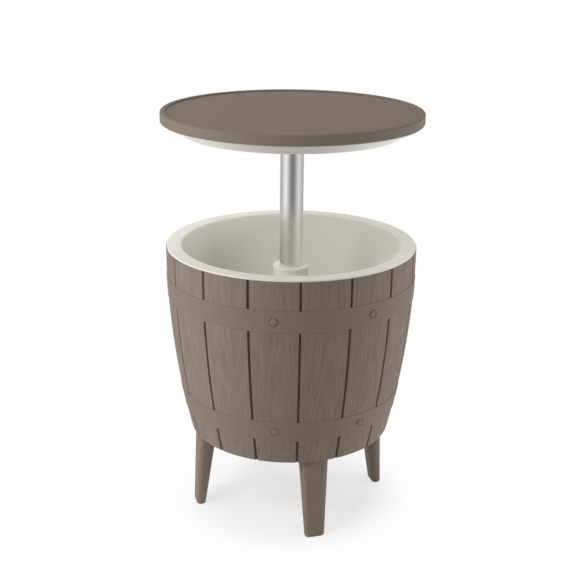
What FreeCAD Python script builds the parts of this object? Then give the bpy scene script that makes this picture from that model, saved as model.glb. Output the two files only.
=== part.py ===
"""A barrel-shaped cooler whose lid is a round table on a rising pole.

Millimetres, +Z up. The origin is on the floor, under the middle of the barrel. The front of the
object is -Y and its right is +X. It is drawn as it stands with the table raised and clamped.
"""
import FreeCAD, Part
import math
import os
from types import SimpleNamespace

import Sketcher

SIZES = {
    # Barrel shell
    "barrel_bottom": 164.5,  # from the floor to the underside of the barrel
    "rim_height": 544.3,  # from the floor to the top of the white rim
    "belly_radius": 244.2,  # widest radius of the barrel
    "belly_height": 532.0,  # height at which the barrel is widest
    "bulge_radius": 1540.0,  # radius of the curve that the staves follow upwards
    "shell_wall": 6.0,
    "shell_floor": 6.0,
    "shell_edge_round": 3.0,
    "stave_count": 16,
    "groove_width": 3.2,
    "groove_depth": 3.5,
    "groove_margin": 0.5,  # plain strip between a groove's end and a hoop
    "hoop_width": 42.0,
    "hoop_proud": 0.8,
    "upper_hoop_height": 465.0,
    "lower_hoop_height": 237.0,
    "rivet_radius": 8.2,
    "rivet_land": 0.6,  # height of the rivet's straight rim above the hoop
    "rivet_dome": 1.8,
    "rivet_angle": 22.5,  # from the leg in front of or behind the pair, to each rivet
    # Ice liner
    "rim_inset": 1.2,  # from the barrel's widest radius in to the rim's outer edge
    "rim_thickness": 3.0,
    "rim_outer_round": 1.4,
    "rim_width": 29.0,
    "mouth_round": 4.0,
    "liner_depth": 244.3,  # from the top of the rim to the bucket's floor
    "liner_taper": 22.0,  # how much less the bucket's radius is at its floor than at its mouth
    "liner_floor_round": 12.0,
    "liner_wall": 3.0,
    "skirt_depth": 12.0,  # the lip that centres the liner in the shell
    "skirt_wall": 2.5,
    "tower_top": 494.0,
    "tower_foot_round": 5.0,
    # Insulation
    "foam_clearance": 0.4,
    "foam_base_thickness": 39.6,
    # Column, collar and guide
    "column_bore_radius": 27.7,
    "column_wall": 3.0,
    "column_clearance": 0.3,  # between the column and the tower round it
    "foot_radius": 55.0,
    "foot_thickness": 5.0,
    "foot_screw_radius": 43.0,
    "foot_screw_count": 4,
    "shelf_radius": 60.0,  # the flange that carries the foam under the bucket
    "shelf_thickness": 3.0,
    "key_width": 5.0,
    "key_height": 2.5,
    "collar_radius": 36.0,
    "collar_thickness": 4.0,
    "collar_round": 2.0,
    "collar_length": 44.0,
    "collar_fit": 0.1,
    "running_fit": 0.08,
    "guide_height": 30.0,
    "guide_clearance": 0.3,
    "guide_split": 3.0,
    "end_play": 0.3,
    "turn_range": 60.0,  # how far the table turns between clamped and free
    "lug_angle": 20.0,
    "lug_inner_radius": 17.4,
    "lug_outer_radius": 21.6,
    "lug_length": 4.5,
    "lug_clearance": 0.4,
    "lug_end_angle": 1.0,  # angle left free at each end of the lug's groove
    # Pole and its lower end
    "pole_radius": 22.5,
    "pole_wall": 2.0,
    "pole_rise": 17.0,  # how far the pole goes up past the bottom of the dish
    "press_clearance": 0.05,
    "shoulder_thickness": 3.0,
    "plug_depth": 35.0,
    "journal_radius": 14.0,
    "pin_radius": 2.5,
    "pin_rise": 18.0,  # from the tube's lower end to the cross pin
    "pin_recess": 0.3,
    "washer_radius": 22.0,
    "washer_thickness": 3.0,
    "guide_bolt_radius": 4.0,
    "guide_bolt_depth": 25.0,
    "guide_bolt_head_radius": 7.0,
    "guide_bolt_head_height": 5.0,
    # Table
    "table_overhang": 5.8,  # how far the table stands out past the barrel's widest radius
    "table_height": 804.0,  # from the floor to the top of the raised lip
    "table_edge": 20.0,  # height of the taupe edge
    "table_edge_round": 3.5,
    "table_bottom_round": 2.0,
    "lip_width": 10.6,
    "lip_height": 3.5,
    "lip_round": 1.5,
    "tray_plate": 4.0,
    "skirt_thickness": 4.0,
    "nest_clearance": 0.3,
    "flange_drop": 3.4,  # how far the white flange shows below the taupe edge
    "underside_wall": 3.0,
    "dish_clearance": 1.5,  # between the dish and the bucket's mouth when the lid is down
    "dish_taper": 1.5,
    "dish_drop": 21.5,  # from the taupe edge to the bottom of the dish
    "dish_round": 2.0,
    "seat_gap": 0.3,  # left between the flange and the rim when the lid is down
    "tray_screw_radius": 160.0,
    "tray_screw_count": 8,
    "tray_boss_radius": 6.0,
    # Socket under the table
    "socket_flange_radius": 45.0,
    "socket_flange": 5.0,
    "socket_hub_radius": 28.0,
    "socket_hub_drop": 20.0,
    "socket_cap": 3.0,
    "socket_bolt_radius": 37.0,
    "socket_bolt_count": 4,
    "socket_screw_rise": 10.0,  # from the hub's lower edge to its two cross screws
    "socket_screw_depth": 8.0,
    # Legs
    "leg_count": 4,
    "leg_inset": 25.5,  # from the barrel's lower edge in to the middle of the leg's top
    "leg_splay": 16.0,  # how much further out the foot is than the top
    "leg_top_width": 56.0,
    "leg_top_depth": 36.5,
    "leg_top_corner": 14.0,
    "leg_foot_width": 39.0,
    "leg_foot_depth": 18.5,
    "leg_foot_corner": 8.5,
    "leg_toe_bevel": 3.0,
    "leg_toe": 14.0,  # solid plastic above the floor, under the leg's hollow
    "leg_hollow_width": 32.0,
    "leg_hollow_depth": 13.0,
    "leg_hollow_corner": 4.0,
    "leg_hollow_narrowing": 4.0,
    "tenon_width": 40.0,
    "tenon_depth": 22.0,
    "tenon_height": 18.0,
    "tenon_corner": 5.0,
    "socket_wall": 3.0,
    "socket_clearance": 0.3,
    "tab_reach": 41.0,  # from the middle of the leg's top in to the tab's end
    "tab_overlap": 4.0,  # how far the tab runs into the leg
    "tab_width": 40.0,
    "tab_thickness": 5.0,
    "tab_corner": 5.0,
    "tab_screw_inset": 29.0,  # from the middle of the leg's top in to the tab's screws
    "tab_screw_spread": 12.0,
    "boss_radius": 5.5,
    "boss_height": 10.0,
    # Fasteners
    "screw_radius": 2.5,
    "screw_head_radius": 4.5,
    "screw_head_height": 2.6,
    "screw_drive_radius": 1.7,
    "screw_drive_depth": 1.4,
    "boss_bite": 14.0,  # how far a screw reaches into a boss
    # Drain
    "drain_reach": 110.0,
    "drain_pipe_radius": 12.0,
    "drain_bore_radius": 9.0,
    "drain_pipe_bottom": 152.5,
    "drain_flange_radius": 21.0,
    "drain_flange": 3.5,
    "gasket_thickness": 1.5,
    "well_clearance": 1.0,
    "well_depth": 6.0,
    "pass_clearance": 0.3,
    "foam_pipe_radius": 27.0,
    "nut_across": 40.0,
    "nut_height": 8.0,
    "plug_head_radius": 15.0,
    "plug_head_height": 8.0,
    "plug_gap": 0.3,
    "plug_stem": 18.0,
    "plug_grip_width": 22.0,
    "plug_grip_thickness": 6.0,
    "plug_grip_height": 12.0,
    "plug_round": 1.5,
    "seal_thickness": 2.0,
    "seal_rise": 10.0,
}


class Size:
    """A number, with the spreadsheet expression that gives it, so that a formula is written once."""

    def __init__(self, value, text):
        self.value = value
        self.text = text

    def __add__(self, other):
        other = as_size(other)
        return Size(self.value + other.value, f"({self.text} + {other.text})")

    def __sub__(self, other):
        other = as_size(other)
        return Size(self.value - other.value, f"({self.text} - {other.text})")

    def __mul__(self, other):
        other = as_size(other)
        return Size(self.value * other.value, f"({self.text} * {other.text})")

    def __truediv__(self, other):
        other = as_size(other)
        return Size(self.value / other.value, f"({self.text} / {other.text})")

    def __neg__(self):
        return Size(-self.value, f"(0 - {self.text})")


def as_size(number):
    if isinstance(number, Size):
        return number
    return Size(float(number), repr(float(number)))


def root(size):
    return Size(math.sqrt(size.value), f"sqrt({size.text})")


def cosine(angle):
    """Cosine of an angle in degrees."""
    angle = as_size(angle)
    return Size(math.cos(math.radians(angle.value)), f"cos({angle.text})")


def sine(angle):
    """Sine of an angle in degrees."""
    angle = as_size(angle)
    return Size(math.sin(math.radians(angle.value)), f"sin({angle.text})")


AXIS = Size(0.0, "0")
S = SimpleNamespace(**{name: Size(float(value), f"sizes.{name}") for name, value in SIZES.items()})


def shell_radius(height, inset=AXIS):
    """Radius of the barrel at a height, on a curve that lies inset from its outer face."""
    drop = height - S.belly_height
    radius = S.bulge_radius - inset
    return S.belly_radius - S.bulge_radius + root(radius * radius - drop * drop)


# Heights and radii that several pieces share
shell_floor_top = S.barrel_bottom + S.shell_floor
shell_top = S.rim_height - S.rim_thickness
liner_floor = S.rim_height - S.liner_depth
liner_floor_under = liner_floor - S.liner_wall
rim_outer_radius = S.belly_radius - S.rim_inset
mouth_radius = rim_outer_radius - S.rim_width
liner_floor_radius = mouth_radius - S.liner_taper
column_radius = S.column_bore_radius + S.column_wall
tower_bore = column_radius + S.column_clearance
tower_radius = tower_bore + S.liner_wall
collar_bottom = S.tower_top - S.collar_length
guide_top = collar_bottom - S.end_play
guide_bottom = guide_top - S.guide_height
pole_bottom = collar_bottom + S.shoulder_thickness
pole_bore = S.pole_radius - S.pole_wall
journal_bottom = guide_bottom - S.end_play
washer_bottom = journal_bottom - S.washer_thickness
edge_bottom = S.table_height - S.table_edge
flange_bottom = edge_bottom - S.flange_drop
table_radius = S.belly_radius + S.table_overhang
dish_top_radius = mouth_radius - S.dish_clearance
dish_bottom_radius = dish_top_radius - S.dish_taper
dish_bottom = edge_bottom - S.dish_drop
dish_floor = dish_bottom + S.underside_wall
tray_surface = S.table_height - S.lip_height
tray_under = tray_surface - S.tray_plate
nest_radius = table_radius - S.skirt_thickness - S.nest_clearance
pole_top = dish_bottom + S.pole_rise
socket_under = dish_bottom - S.socket_flange
hub_bottom = socket_under - S.socket_hub_drop
screw_hole = S.screw_radius + S.press_clearance
foam_bottom = liner_floor_under - S.foam_clearance - S.foam_base_thickness
leg_top_reach = shell_radius(S.barrel_bottom) - S.leg_inset
leg_foot_reach = leg_top_reach + S.leg_splay
tab_inner_reach = leg_top_reach - S.tab_reach
tab_screw_reach = leg_top_reach - S.tab_screw_inset
travel = flange_bottom - S.rim_height - S.seat_gap
leg_pitch = 360.0 / SIZES["leg_count"]
first_leg = -leg_pitch / 2

doc = FreeCAD.newDocument("cooler_table")
sheet = doc.addObject("Spreadsheet::Sheet", "sizes")
pieces = []


def fill_sheet():
    for row, (name, value) in enumerate(SIZES.items(), 1):
        sheet.set(f"A{row}", name)
        sheet.set(f"B{row}", str(value))
        sheet.setAlias(f"B{row}", name)
    doc.recompute()


def bind(thing, path, size):
    thing.setExpression(path, as_size(size).text)


def new_body(name):
    body = doc.addObject("PartDesign::Body", name)
    body.Label = name
    body.AllowCompound = True
    pieces.append(body)
    return body


def origin_part(body, role):
    return next(part for part in body.Origin.OriginFeatures if part.Role == role)


def new_sketch(body, name, plane="XZ_Plane", lift=None, turn=None):
    """A sketch on an origin plane, lifted along its normal, or turned about the upright axis."""
    sketch = body.newObject("Sketcher::SketchObject", name)
    sketch.AttachmentSupport = [(origin_part(body, plane), "")]
    sketch.MapMode = "FlatFace"
    upright = FreeCAD.Vector(0, 0, 1) if plane == "XY_Plane" else FreeCAD.Vector(0, 1, 0)
    turned = FreeCAD.Rotation(upright, turn or 0.0)
    raised = FreeCAD.Vector(0, 0, lift.value if lift else 0.0)
    sketch.AttachmentOffset = FreeCAD.Placement(raised, turned)
    if lift:
        bind(sketch, "AttachmentOffset.Base.z", lift)
    return sketch


def pin_point(sketch, edge, end, across, up):
    """Fixes one end of an edge at (across, up) in its sketch."""
    if across is AXIS:
        sketch.addConstraint(Sketcher.Constraint("PointOnObject", edge, end, -2))
    else:
        number = sketch.addConstraint(Sketcher.Constraint("DistanceX", -1, 1, edge, end, across.value))
        sketch.renameConstraint(number, f"across_{edge}_{end}")
        bind(sketch, f"Constraints.across_{edge}_{end}", across)
    if up is AXIS:
        sketch.addConstraint(Sketcher.Constraint("PointOnObject", edge, end, -1))
    else:
        number = sketch.addConstraint(Sketcher.Constraint("DistanceY", -1, 1, edge, end, up.value))
        sketch.renameConstraint(number, f"up_{edge}_{end}")
        bind(sketch, f"Constraints.up_{edge}_{end}", up)


def set_radius(sketch, edge, radius):
    number = sketch.addConstraint(Sketcher.Constraint("Radius", edge, radius.value))
    sketch.renameConstraint(number, f"radius_{edge}")
    bind(sketch, f"Constraints.radius_{edge}", radius)


def outline(sketch, corners, bends=None):
    """Draws a closed outline through (across, up) corners.

    bends maps a corner's number to the (radius, across, up) of the arc that leaves it.
    """
    bends = bends or {}
    first = sketch.GeometryCount
    spots = [FreeCAD.Vector(across.value, up.value, 0) for across, up in corners]
    tails = []
    heads = []
    for number, start in enumerate(spots):
        end = spots[(number + 1) % len(spots)]
        if number not in bends:
            sketch.addGeometry(Part.LineSegment(start, end), False)
            tails.append(1)
            heads.append(2)
            continue
        radius, across, up = bends[number]
        middle = FreeCAD.Vector(across.value, up.value, 0)
        leftwards = (start - middle).cross(end - middle).z > 0
        near, far = (start, end) if leftwards else (end, start)
        angles = [math.atan2(spot.y - middle.y, spot.x - middle.x) for spot in (near, far)]
        if angles[1] < angles[0]:
            angles[1] += 2 * math.pi
        circle = Part.Circle(middle, FreeCAD.Vector(0, 0, 1), radius.value)
        sketch.addGeometry(Part.ArcOfCircle(circle, *angles), False)
        tails.append(1 if leftwards else 2)
        heads.append(2 if leftwards else 1)
    for number in range(len(spots)):
        following = (number + 1) % len(spots)
        joined = (first + number, heads[number], first + following, tails[following])
        sketch.addConstraint(Sketcher.Constraint("Coincident", *joined))
    for number, (across, up) in enumerate(corners):
        pin_point(sketch, first + number, tails[number], across, up)
        if number in bends:
            set_radius(sketch, first + number, bends[number][0])


def circles(sketch, centres, radius):
    for across, up in centres:
        edge = sketch.GeometryCount
        centre = FreeCAD.Vector(across.value, up.value, 0)
        sketch.addGeometry(Part.Circle(centre, FreeCAD.Vector(0, 0, 1), radius.value), False)
        pin_point(sketch, edge, 3, across, up)
        set_radius(sketch, edge, radius)


def rounded_rectangle(sketch, across, up, width, depth, corner):
    """A rectangle centred at (across, up) whose corners are quarter circles."""
    left, right = across - width / 2, across + width / 2
    low, high = up - depth / 2, up + depth / 2
    inner = {"l": left + corner, "r": right - corner, "b": low + corner, "t": high - corner}
    corners = [
        (inner["l"], low), (inner["r"], low), (right, inner["b"]), (right, inner["t"]),
        (inner["r"], high), (inner["l"], high), (left, inner["t"]), (left, inner["b"]),
    ]
    bends = {
        1: (corner, inner["r"], inner["b"]), 3: (corner, inner["r"], inner["t"]),
        5: (corner, inner["l"], inner["t"]), 7: (corner, inner["l"], inner["b"]),
    }
    outline(sketch, corners, bends)


def ring_points(reach, count, first_angle=0.0):
    """Points spread evenly on a circle of radius reach."""
    angles = [first_angle + 360.0 * number / count for number in range(count)]
    return [(reach * cosine(angle), reach * sine(angle)) for angle in angles]


def feature(body, kind, name, sketch, **settings):
    """Adds a feature made from a sketch, with some settings bound to sizes."""
    made = body.newObject(f"PartDesign::{kind}", name)
    made.Profile = sketch
    for setting, value in settings.items():
        if isinstance(value, Size):
            bind(made, setting, value)
        else:
            setattr(made, setting, value)
    return made


def revolve(body, name, corners, bends=None):
    sketch = new_sketch(body, name + "_outline")
    outline(sketch, corners, bends)
    return feature(body, "Revolution", name, sketch, ReferenceAxis=(sketch, ["V_Axis"]), Angle=360.0)


def holes(body, name, centres, radius, level, depth, upward=True):
    """Round holes that start at a level and go up, or down, by depth."""
    sketch = new_sketch(body, name + "_outline", "XY_Plane", level)
    circles(sketch, centres, radius)
    return feature(body, "Pocket", name, sketch, Length=depth, Reversed=upward)


def pillars(body, name, centres, radius, level, height, upward=True):
    sketch = new_sketch(body, name + "_outline", "XY_Plane", level)
    circles(sketch, centres, radius)
    return feature(body, "Pad", name, sketch, Length=height, Reversed=not upward)


def repeat(body, name, originals, count, spacings=None):
    """Copies features round the upright axis, evenly or with the given angles between copies."""
    pattern = body.newObject("PartDesign::PolarPattern", name)
    pattern.Originals = originals
    pattern.Axis = (origin_part(body, "Z_Axis"), [""])
    pattern.Angle = 360.0
    bind(pattern, "Occurrences", count)
    if spacings:
        pattern.Mode = "Spacing"
        pattern.Spacings = spacings
    body.Tip = pattern


def repeat_whole(body, count):
    """Copies all that the body holds evenly round the upright axis."""
    repeat(body, "copies", [], count)
    body.Tip.TransformMode = "Whole shape"


def rings_at(body, spots):
    """Names of the round edges about the body's axis at these (radius, height) spots."""
    doc.recompute()
    names = []
    for number, edge in enumerate(body.Shape.Edges, 1):
        if not isinstance(edge.Curve, Part.Circle):
            continue
        centre = edge.Curve.Center
        if math.hypot(centre.x, centre.y) > 0.01:
            continue
        for radius, height in spots:
            if abs(edge.Curve.Radius - radius.value) < 0.01 and abs(centre.z - height.value) < 0.01:
                names.append(f"Edge{number}")
    return names


def soften(body, name, edges, radius):
    """Rounds the named edges of the body as it is so far."""
    if not edges:
        raise ValueError(f"{body.Label}: {name} finds no edge")
    tip = body.Tip
    made = body.newObject("PartDesign::Fillet", name)
    made.Base = (tip, edges)
    bind(made, "Radius", radius)


def shell_bend(inset=AXIS):
    """The arc that the barrel follows, inset from its outer face, as outline wants it."""
    return (S.bulge_radius - inset, S.belly_radius - S.bulge_radius, S.belly_height)


def band_outline(sketch, inner_inset, outer_inset, low, high):
    """A strip that follows the barrel's curve between two heights."""
    corners = [
        (shell_radius(low, inner_inset), low), (shell_radius(low, outer_inset), low),
        (shell_radius(high, outer_inset), high), (shell_radius(high, inner_inset), high),
    ]
    outline(sketch, corners, {1: shell_bend(outer_inset), 3: shell_bend(inner_inset)})


def hoop_face(height):
    """Outer radius of the flat-sided hoops at a height, by the barrel's curve."""
    return shell_radius(height, -S.hoop_proud)


def add_hoops(body):
    """Two flat-sided bands that stand a little proud of the staves."""
    sketch = new_sketch(body, "hoops_outline")
    for height in (S.upper_hoop_height, S.lower_hoop_height):
        low, high = height - S.hoop_width / 2, height + S.hoop_width / 2
        inset = S.shell_wall / 2
        outline(sketch, [
            (shell_radius(low, inset), low), (hoop_face(low), low),
            (hoop_face(high), high), (shell_radius(high, inset), high),
        ])
    feature(body, "Revolution", "hoops", sketch, ReferenceAxis=(sketch, ["V_Axis"]), Angle=360.0)


def cut_grooves(body):
    """The dark lines between staves, which run out at the barrel's edges and stop at the hoops."""
    half_hoop = S.hoop_width / 2 + S.groove_margin
    spans = [
        (S.barrel_bottom - S.groove_depth, S.lower_hoop_height - half_hoop),
        (S.lower_hoop_height + half_hoop, S.upper_hoop_height - half_hoop),
        (S.upper_hoop_height + half_hoop, shell_top + S.groove_depth),
    ]
    half_stave = 180.0 / SIZES["stave_count"]
    sketch = new_sketch(body, "groove_outline", turn=half_stave)
    for low, high in spans:
        band_outline(sketch, S.groove_depth, -S.groove_width, low, high)
    groove = feature(body, "Pocket", "groove", sketch, Length=S.groove_width, SideType="Symmetric")
    repeat(body, "grooves", [groove], S.stave_count)


def add_rivets(body):
    """Domed rivet heads on the hoops, a pair in front of and a pair behind the barrel."""
    rise = S.rivet_dome
    dome_radius = (S.rivet_radius * S.rivet_radius + rise * rise) / (rise * 2)
    rivets = []
    for hoop, height in (("upper", S.upper_hoop_height), ("lower", S.lower_hoop_height)):
        face = hoop_face(height)
        inside = face - S.shell_wall / 2
        land = face + S.rivet_land
        corners = [
            (inside, height), (land + rise, height),
            (land, height + S.rivet_radius), (inside, height + S.rivet_radius),
        ]
        sketch = new_sketch(body, f"{hoop}_rivet_outline", turn=first_leg - SIZES["rivet_angle"])
        outline(sketch, corners, {1: (dome_radius, land + rise - dome_radius, height)})
        settings = {"ReferenceAxis": (sketch, ["Edge1"]), "Angle": 360.0}
        rivets.append(feature(body, "Revolution", f"{hoop}_rivet", sketch, **settings))
    within_pair = SIZES["rivet_angle"] * 2
    between_pairs = 180.0 - within_pair
    repeat(body, "rivets", rivets, as_size(4), [within_pair, between_pairs, within_pair])


def add_leg_sockets(body):
    """Boxes moulded on the barrel's floor that take the legs' tenons, and their screw bosses."""
    room = S.socket_clearance * 2
    walls = S.socket_wall * 2
    block = new_sketch(body, "leg_block_outline", "XY_Plane", shell_floor_top, first_leg)
    outer = (S.tenon_depth + room + walls, S.tenon_width + room + walls, S.tenon_corner + S.socket_wall)
    rounded_rectangle(block, leg_top_reach, AXIS, *outer)
    rise = S.tenon_height + S.socket_clearance + S.socket_wall - S.shell_floor
    blocks = feature(body, "Pad", "leg_block", block, Length=rise)
    repeat(body, "leg_blocks", [blocks], S.leg_count)
    hollow = new_sketch(body, "leg_socket_outline", "XY_Plane", S.barrel_bottom, first_leg)
    inner = (S.tenon_depth + room, S.tenon_width + room, S.tenon_corner)
    rounded_rectangle(hollow, leg_top_reach, AXIS, *inner)
    depth = S.tenon_height + S.socket_clearance
    sockets = feature(body, "Pocket", "leg_socket", hollow, Length=depth, Reversed=True)
    repeat(body, "leg_sockets", [sockets], S.leg_count)
    points = leg_screw_points()
    pillars(body, "leg_bosses", points, S.boss_radius, shell_floor_top, S.boss_height)
    holes(body, "leg_screw_holes", points, screw_hole, S.barrel_bottom, S.boss_bite)


def foot_screw_points():
    return ring_points(S.foot_screw_radius, SIZES["foot_screw_count"], first_leg)


def leg_screw_points():
    """Where the screws of all legs go through their tabs, two for each leg in turn."""
    points = []
    for number in range(SIZES["leg_count"]):
        angle = first_leg + leg_pitch * number
        for side in (-1, 1):
            spread = S.tab_screw_spread * side
            across = tab_screw_reach * cosine(angle) - spread * sine(angle)
            up = tab_screw_reach * sine(angle) + spread * cosine(angle)
            points.append((across, up))
    return points


def make_barrel_shell():
    body = new_body("barrel_shell")
    inset = S.shell_wall
    corners = [
        (AXIS, S.barrel_bottom), (shell_radius(S.barrel_bottom), S.barrel_bottom),
        (shell_radius(shell_top), shell_top), (shell_radius(shell_top, inset), shell_top),
        (shell_radius(shell_floor_top, inset), shell_floor_top), (AXIS, shell_floor_top),
    ]
    revolve(body, "wall", corners, {1: shell_bend(), 3: shell_bend(inset)})
    edge = rings_at(body, [(shell_radius(S.barrel_bottom), S.barrel_bottom)])
    soften(body, "bottom_edge", edge, S.shell_edge_round)
    add_hoops(body)
    add_rivets(body)
    add_leg_sockets(body)
    holes(body, "foot_screw_holes", foot_screw_points(), screw_hole, S.barrel_bottom, S.shell_floor)
    pipe = S.drain_pipe_radius + S.pass_clearance
    holes(body, "drain_hole", [(AXIS, S.drain_reach)], pipe, S.barrel_bottom, S.shell_floor)
    cut_grooves(body)


def liner_radius(height):
    """Inner radius of the bucket at a height."""
    slope = (mouth_radius - liner_floor_radius) / S.liner_depth
    return liner_floor_radius + slope * (height - liner_floor)


def make_ice_liner():
    body = new_body("ice_liner")
    skirt_outer = S.belly_radius - S.shell_wall - S.foam_clearance
    skirt_inner = skirt_outer - S.skirt_wall
    skirt_bottom = shell_top - S.skirt_depth
    corners = [
        (rim_outer_radius, shell_top), (rim_outer_radius, S.rim_height),
        (mouth_radius, S.rim_height), (liner_floor_radius, liner_floor),
        (tower_radius, liner_floor), (tower_radius, S.tower_top),
        (tower_bore, S.tower_top), (tower_bore, liner_floor_under),
        (liner_floor_radius + S.liner_wall, liner_floor_under),
        (liner_radius(shell_top) + S.liner_wall, shell_top),
        (skirt_inner, shell_top), (skirt_inner, skirt_bottom),
        (skirt_outer, skirt_bottom), (skirt_outer, shell_top),
    ]
    revolve(body, "bucket", corners)
    centre = [(AXIS, S.drain_reach)]
    seat = S.drain_flange_radius + S.well_clearance
    well_outer = seat + S.liner_wall
    pillars(body, "well_wall", centre, well_outer, liner_floor_under, S.well_depth, False)
    holes(body, "well", centre, seat, liner_floor, S.well_depth, False)
    pipe = S.drain_pipe_radius + S.pass_clearance
    holes(body, "drain_hole", centre, pipe, liner_floor - S.well_depth, S.liner_wall, False)
    soften(body, "mouth", rings_at(body, [(mouth_radius, S.rim_height)]), S.mouth_round)
    soften(body, "rim_edge", rings_at(body, [(rim_outer_radius, S.rim_height)]), S.rim_outer_round)
    soften(body, "floor_edge", rings_at(body, [(liner_floor_radius, liner_floor)]), S.liner_floor_round)
    soften(body, "tower_foot", rings_at(body, [(tower_radius, liner_floor)]), S.tower_foot_round)


def make_insulation():
    """The foam jacket round the bucket and the foam disc under its floor."""
    jacket = new_body("insulation_jacket")
    gap = S.foam_clearance
    outer = S.shell_wall + gap
    top = shell_top - S.skirt_depth - gap
    inner_low = liner_floor_radius + S.liner_wall + gap
    corners = [
        (inner_low, foam_bottom), (shell_radius(foam_bottom, outer), foam_bottom),
        (shell_radius(top, outer), top), (liner_radius(top) + S.liner_wall + gap, top),
        (inner_low, liner_floor_under),
    ]
    revolve(jacket, "jacket", corners, {1: shell_bend(outer)})
    base = new_body("insulation_base")
    foam_top = liner_floor_under - gap
    disc = liner_floor_radius + S.liner_wall
    bore = column_radius + gap
    revolve(base, "disc", [(bore, foam_bottom), (disc, foam_bottom), (disc, foam_top), (bore, foam_top)])
    points = [(AXIS, S.drain_reach)]
    holes(base, "pipe_hole", points, S.foam_pipe_radius, foam_bottom, S.foam_base_thickness)


def make_guide_column():
    body = new_body("guide_column")
    foot_top = shell_floor_top + S.foot_thickness
    shelf_bottom = foam_bottom - S.shelf_thickness
    corners = [
        (S.column_bore_radius, shell_floor_top), (S.foot_radius, shell_floor_top),
        (S.foot_radius, foot_top), (column_radius, foot_top),
        (column_radius, shelf_bottom), (S.shelf_radius, shelf_bottom),
        (S.shelf_radius, foam_bottom), (column_radius, foam_bottom),
        (column_radius, S.tower_top), (S.column_bore_radius, S.tower_top),
    ]
    revolve(body, "tube", corners)
    sketch = new_sketch(body, "key_outline", "XY_Plane", shell_floor_top)
    inner = S.column_bore_radius - S.key_height
    outer = S.column_bore_radius + S.column_wall / 2
    half = S.key_width / 2
    outline(sketch, [(inner, -half), (outer, -half), (outer, half), (inner, half)])
    key = feature(body, "Pad", "key", sketch, Length=collar_bottom - shell_floor_top)
    repeat(body, "keys", [key], as_size(2))
    holes(body, "screw_holes", foot_screw_points(), screw_hole, shell_floor_top, S.foot_thickness)


def make_column_collar():
    body = new_body("column_collar")
    bore = S.pole_radius + S.running_fit
    spigot = S.column_bore_radius - S.collar_fit
    top = S.tower_top + S.collar_thickness
    corners = [
        (bore, collar_bottom), (spigot, collar_bottom), (spigot, S.tower_top),
        (S.collar_radius, S.tower_top), (S.collar_radius, top), (bore, top),
    ]
    revolve(body, "bush", corners)
    soften(body, "top_edge", rings_at(body, [(S.collar_radius, top)]), S.collar_round)


def arc_slot(sketch, inner, outer, low_angle, high_angle):
    """A slot that follows a circle from one angle to another, in degrees."""
    spots = ((inner, low_angle), (outer, low_angle), (outer, high_angle), (inner, high_angle))
    corners = [(radius * cosine(angle), radius * sine(angle)) for radius, angle in spots]
    outline(sketch, corners, {1: (outer, AXIS, AXIS), 3: (inner, AXIS, AXIS)})


def make_lift_guide():
    """The split sleeve on the pole's lower end, with two notches that run on the column's keys."""
    body = new_body("lift_guide")
    bore = S.journal_radius + S.running_fit
    outer = S.column_bore_radius - S.guide_clearance
    corners = [(bore, guide_bottom), (outer, guide_bottom), (outer, guide_top), (bore, guide_top)]
    revolve(body, "sleeve", corners)
    beyond = outer + S.guide_clearance
    sketch = new_sketch(body, "notch_outline", "XY_Plane", guide_bottom)
    floor = S.column_bore_radius - S.key_height - S.guide_clearance
    half = S.key_width / 2 + S.guide_clearance
    outline(sketch, [(floor, -half), (beyond, -half), (beyond, half), (floor, half)])
    settings = {"Length": S.guide_height, "Reversed": True}
    notch = feature(body, "Pocket", "notch", sketch, **settings)
    repeat(body, "notches", [notch], as_size(2))
    slit = new_sketch(body, "split_outline", "XY_Plane", guide_bottom)
    half = S.guide_split / 2
    near = bore / 2
    outline(slit, [(-half, -beyond), (half, -beyond), (half, -near), (-half, -near)])
    feature(body, "Pocket", "split", slit, **settings)
    groove = new_sketch(body, "stop_groove_outline", "XY_Plane", guide_top)
    swing = S.lug_angle / 2 + S.lug_end_angle
    low, high = S.turn_range - swing, S.turn_range * 2 + swing
    inner = S.lug_inner_radius - S.lug_clearance
    arc_slot(groove, inner, S.lug_outer_radius + S.lug_clearance, low, high)
    depth = S.lug_length + S.lug_clearance - S.end_play
    feature(body, "Pocket", "stop_groove", groove, Length=depth)


def make_pole_plug():
    """The plug in the tube's lower end: a shoulder, a stop lug and the journal that the guide rides on."""
    body = new_body("pole_plug")
    spigot = pole_bore - S.press_clearance
    top = pole_bottom + S.plug_depth
    bolt = S.guide_bolt_radius + S.press_clearance
    corners = [
        (bolt, journal_bottom), (S.journal_radius, journal_bottom),
        (S.journal_radius, collar_bottom), (S.pole_radius, collar_bottom),
        (S.pole_radius, pole_bottom), (spigot, pole_bottom), (spigot, top), (AXIS, top),
        (AXIS, journal_bottom + S.guide_bolt_depth), (bolt, journal_bottom + S.guide_bolt_depth),
    ]
    revolve(body, "plug", corners)
    lug = new_sketch(body, "lug_outline", "XY_Plane", collar_bottom)
    half = S.lug_angle / 2
    arc_slot(lug, S.lug_inner_radius, S.lug_outer_radius, S.turn_range - half, S.turn_range + half)
    feature(body, "Pad", "lug", lug, Length=S.lug_length, Reversed=True)
    side_hole(body, "pin_hole", pole_bottom + S.pin_rise, S.pin_radius + S.press_clearance)


def side_hole(body, name, height, radius):
    """A hole right through a piece from side to side, along X."""
    sketch = new_sketch(body, name + "_outline", "YZ_Plane")
    circles(sketch, [(AXIS, height)], radius)
    feature(body, "Pocket", name, sketch, Length=S.socket_flange_radius * 2, SideType="Symmetric")


def make_pole_tube():
    body = new_body("pole_tube")
    ends = (pole_bottom, pole_top)
    corners = [
        (pole_bore, ends[0]), (S.pole_radius, ends[0]), (S.pole_radius, ends[1]), (pole_bore, ends[1]),
    ]
    revolve(body, "tube", corners)
    side_hole(body, "pin_hole", pole_bottom + S.pin_rise, S.pin_radius + S.press_clearance)
    side_hole(body, "screw_hole", hub_bottom + S.socket_screw_rise, screw_hole)


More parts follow.
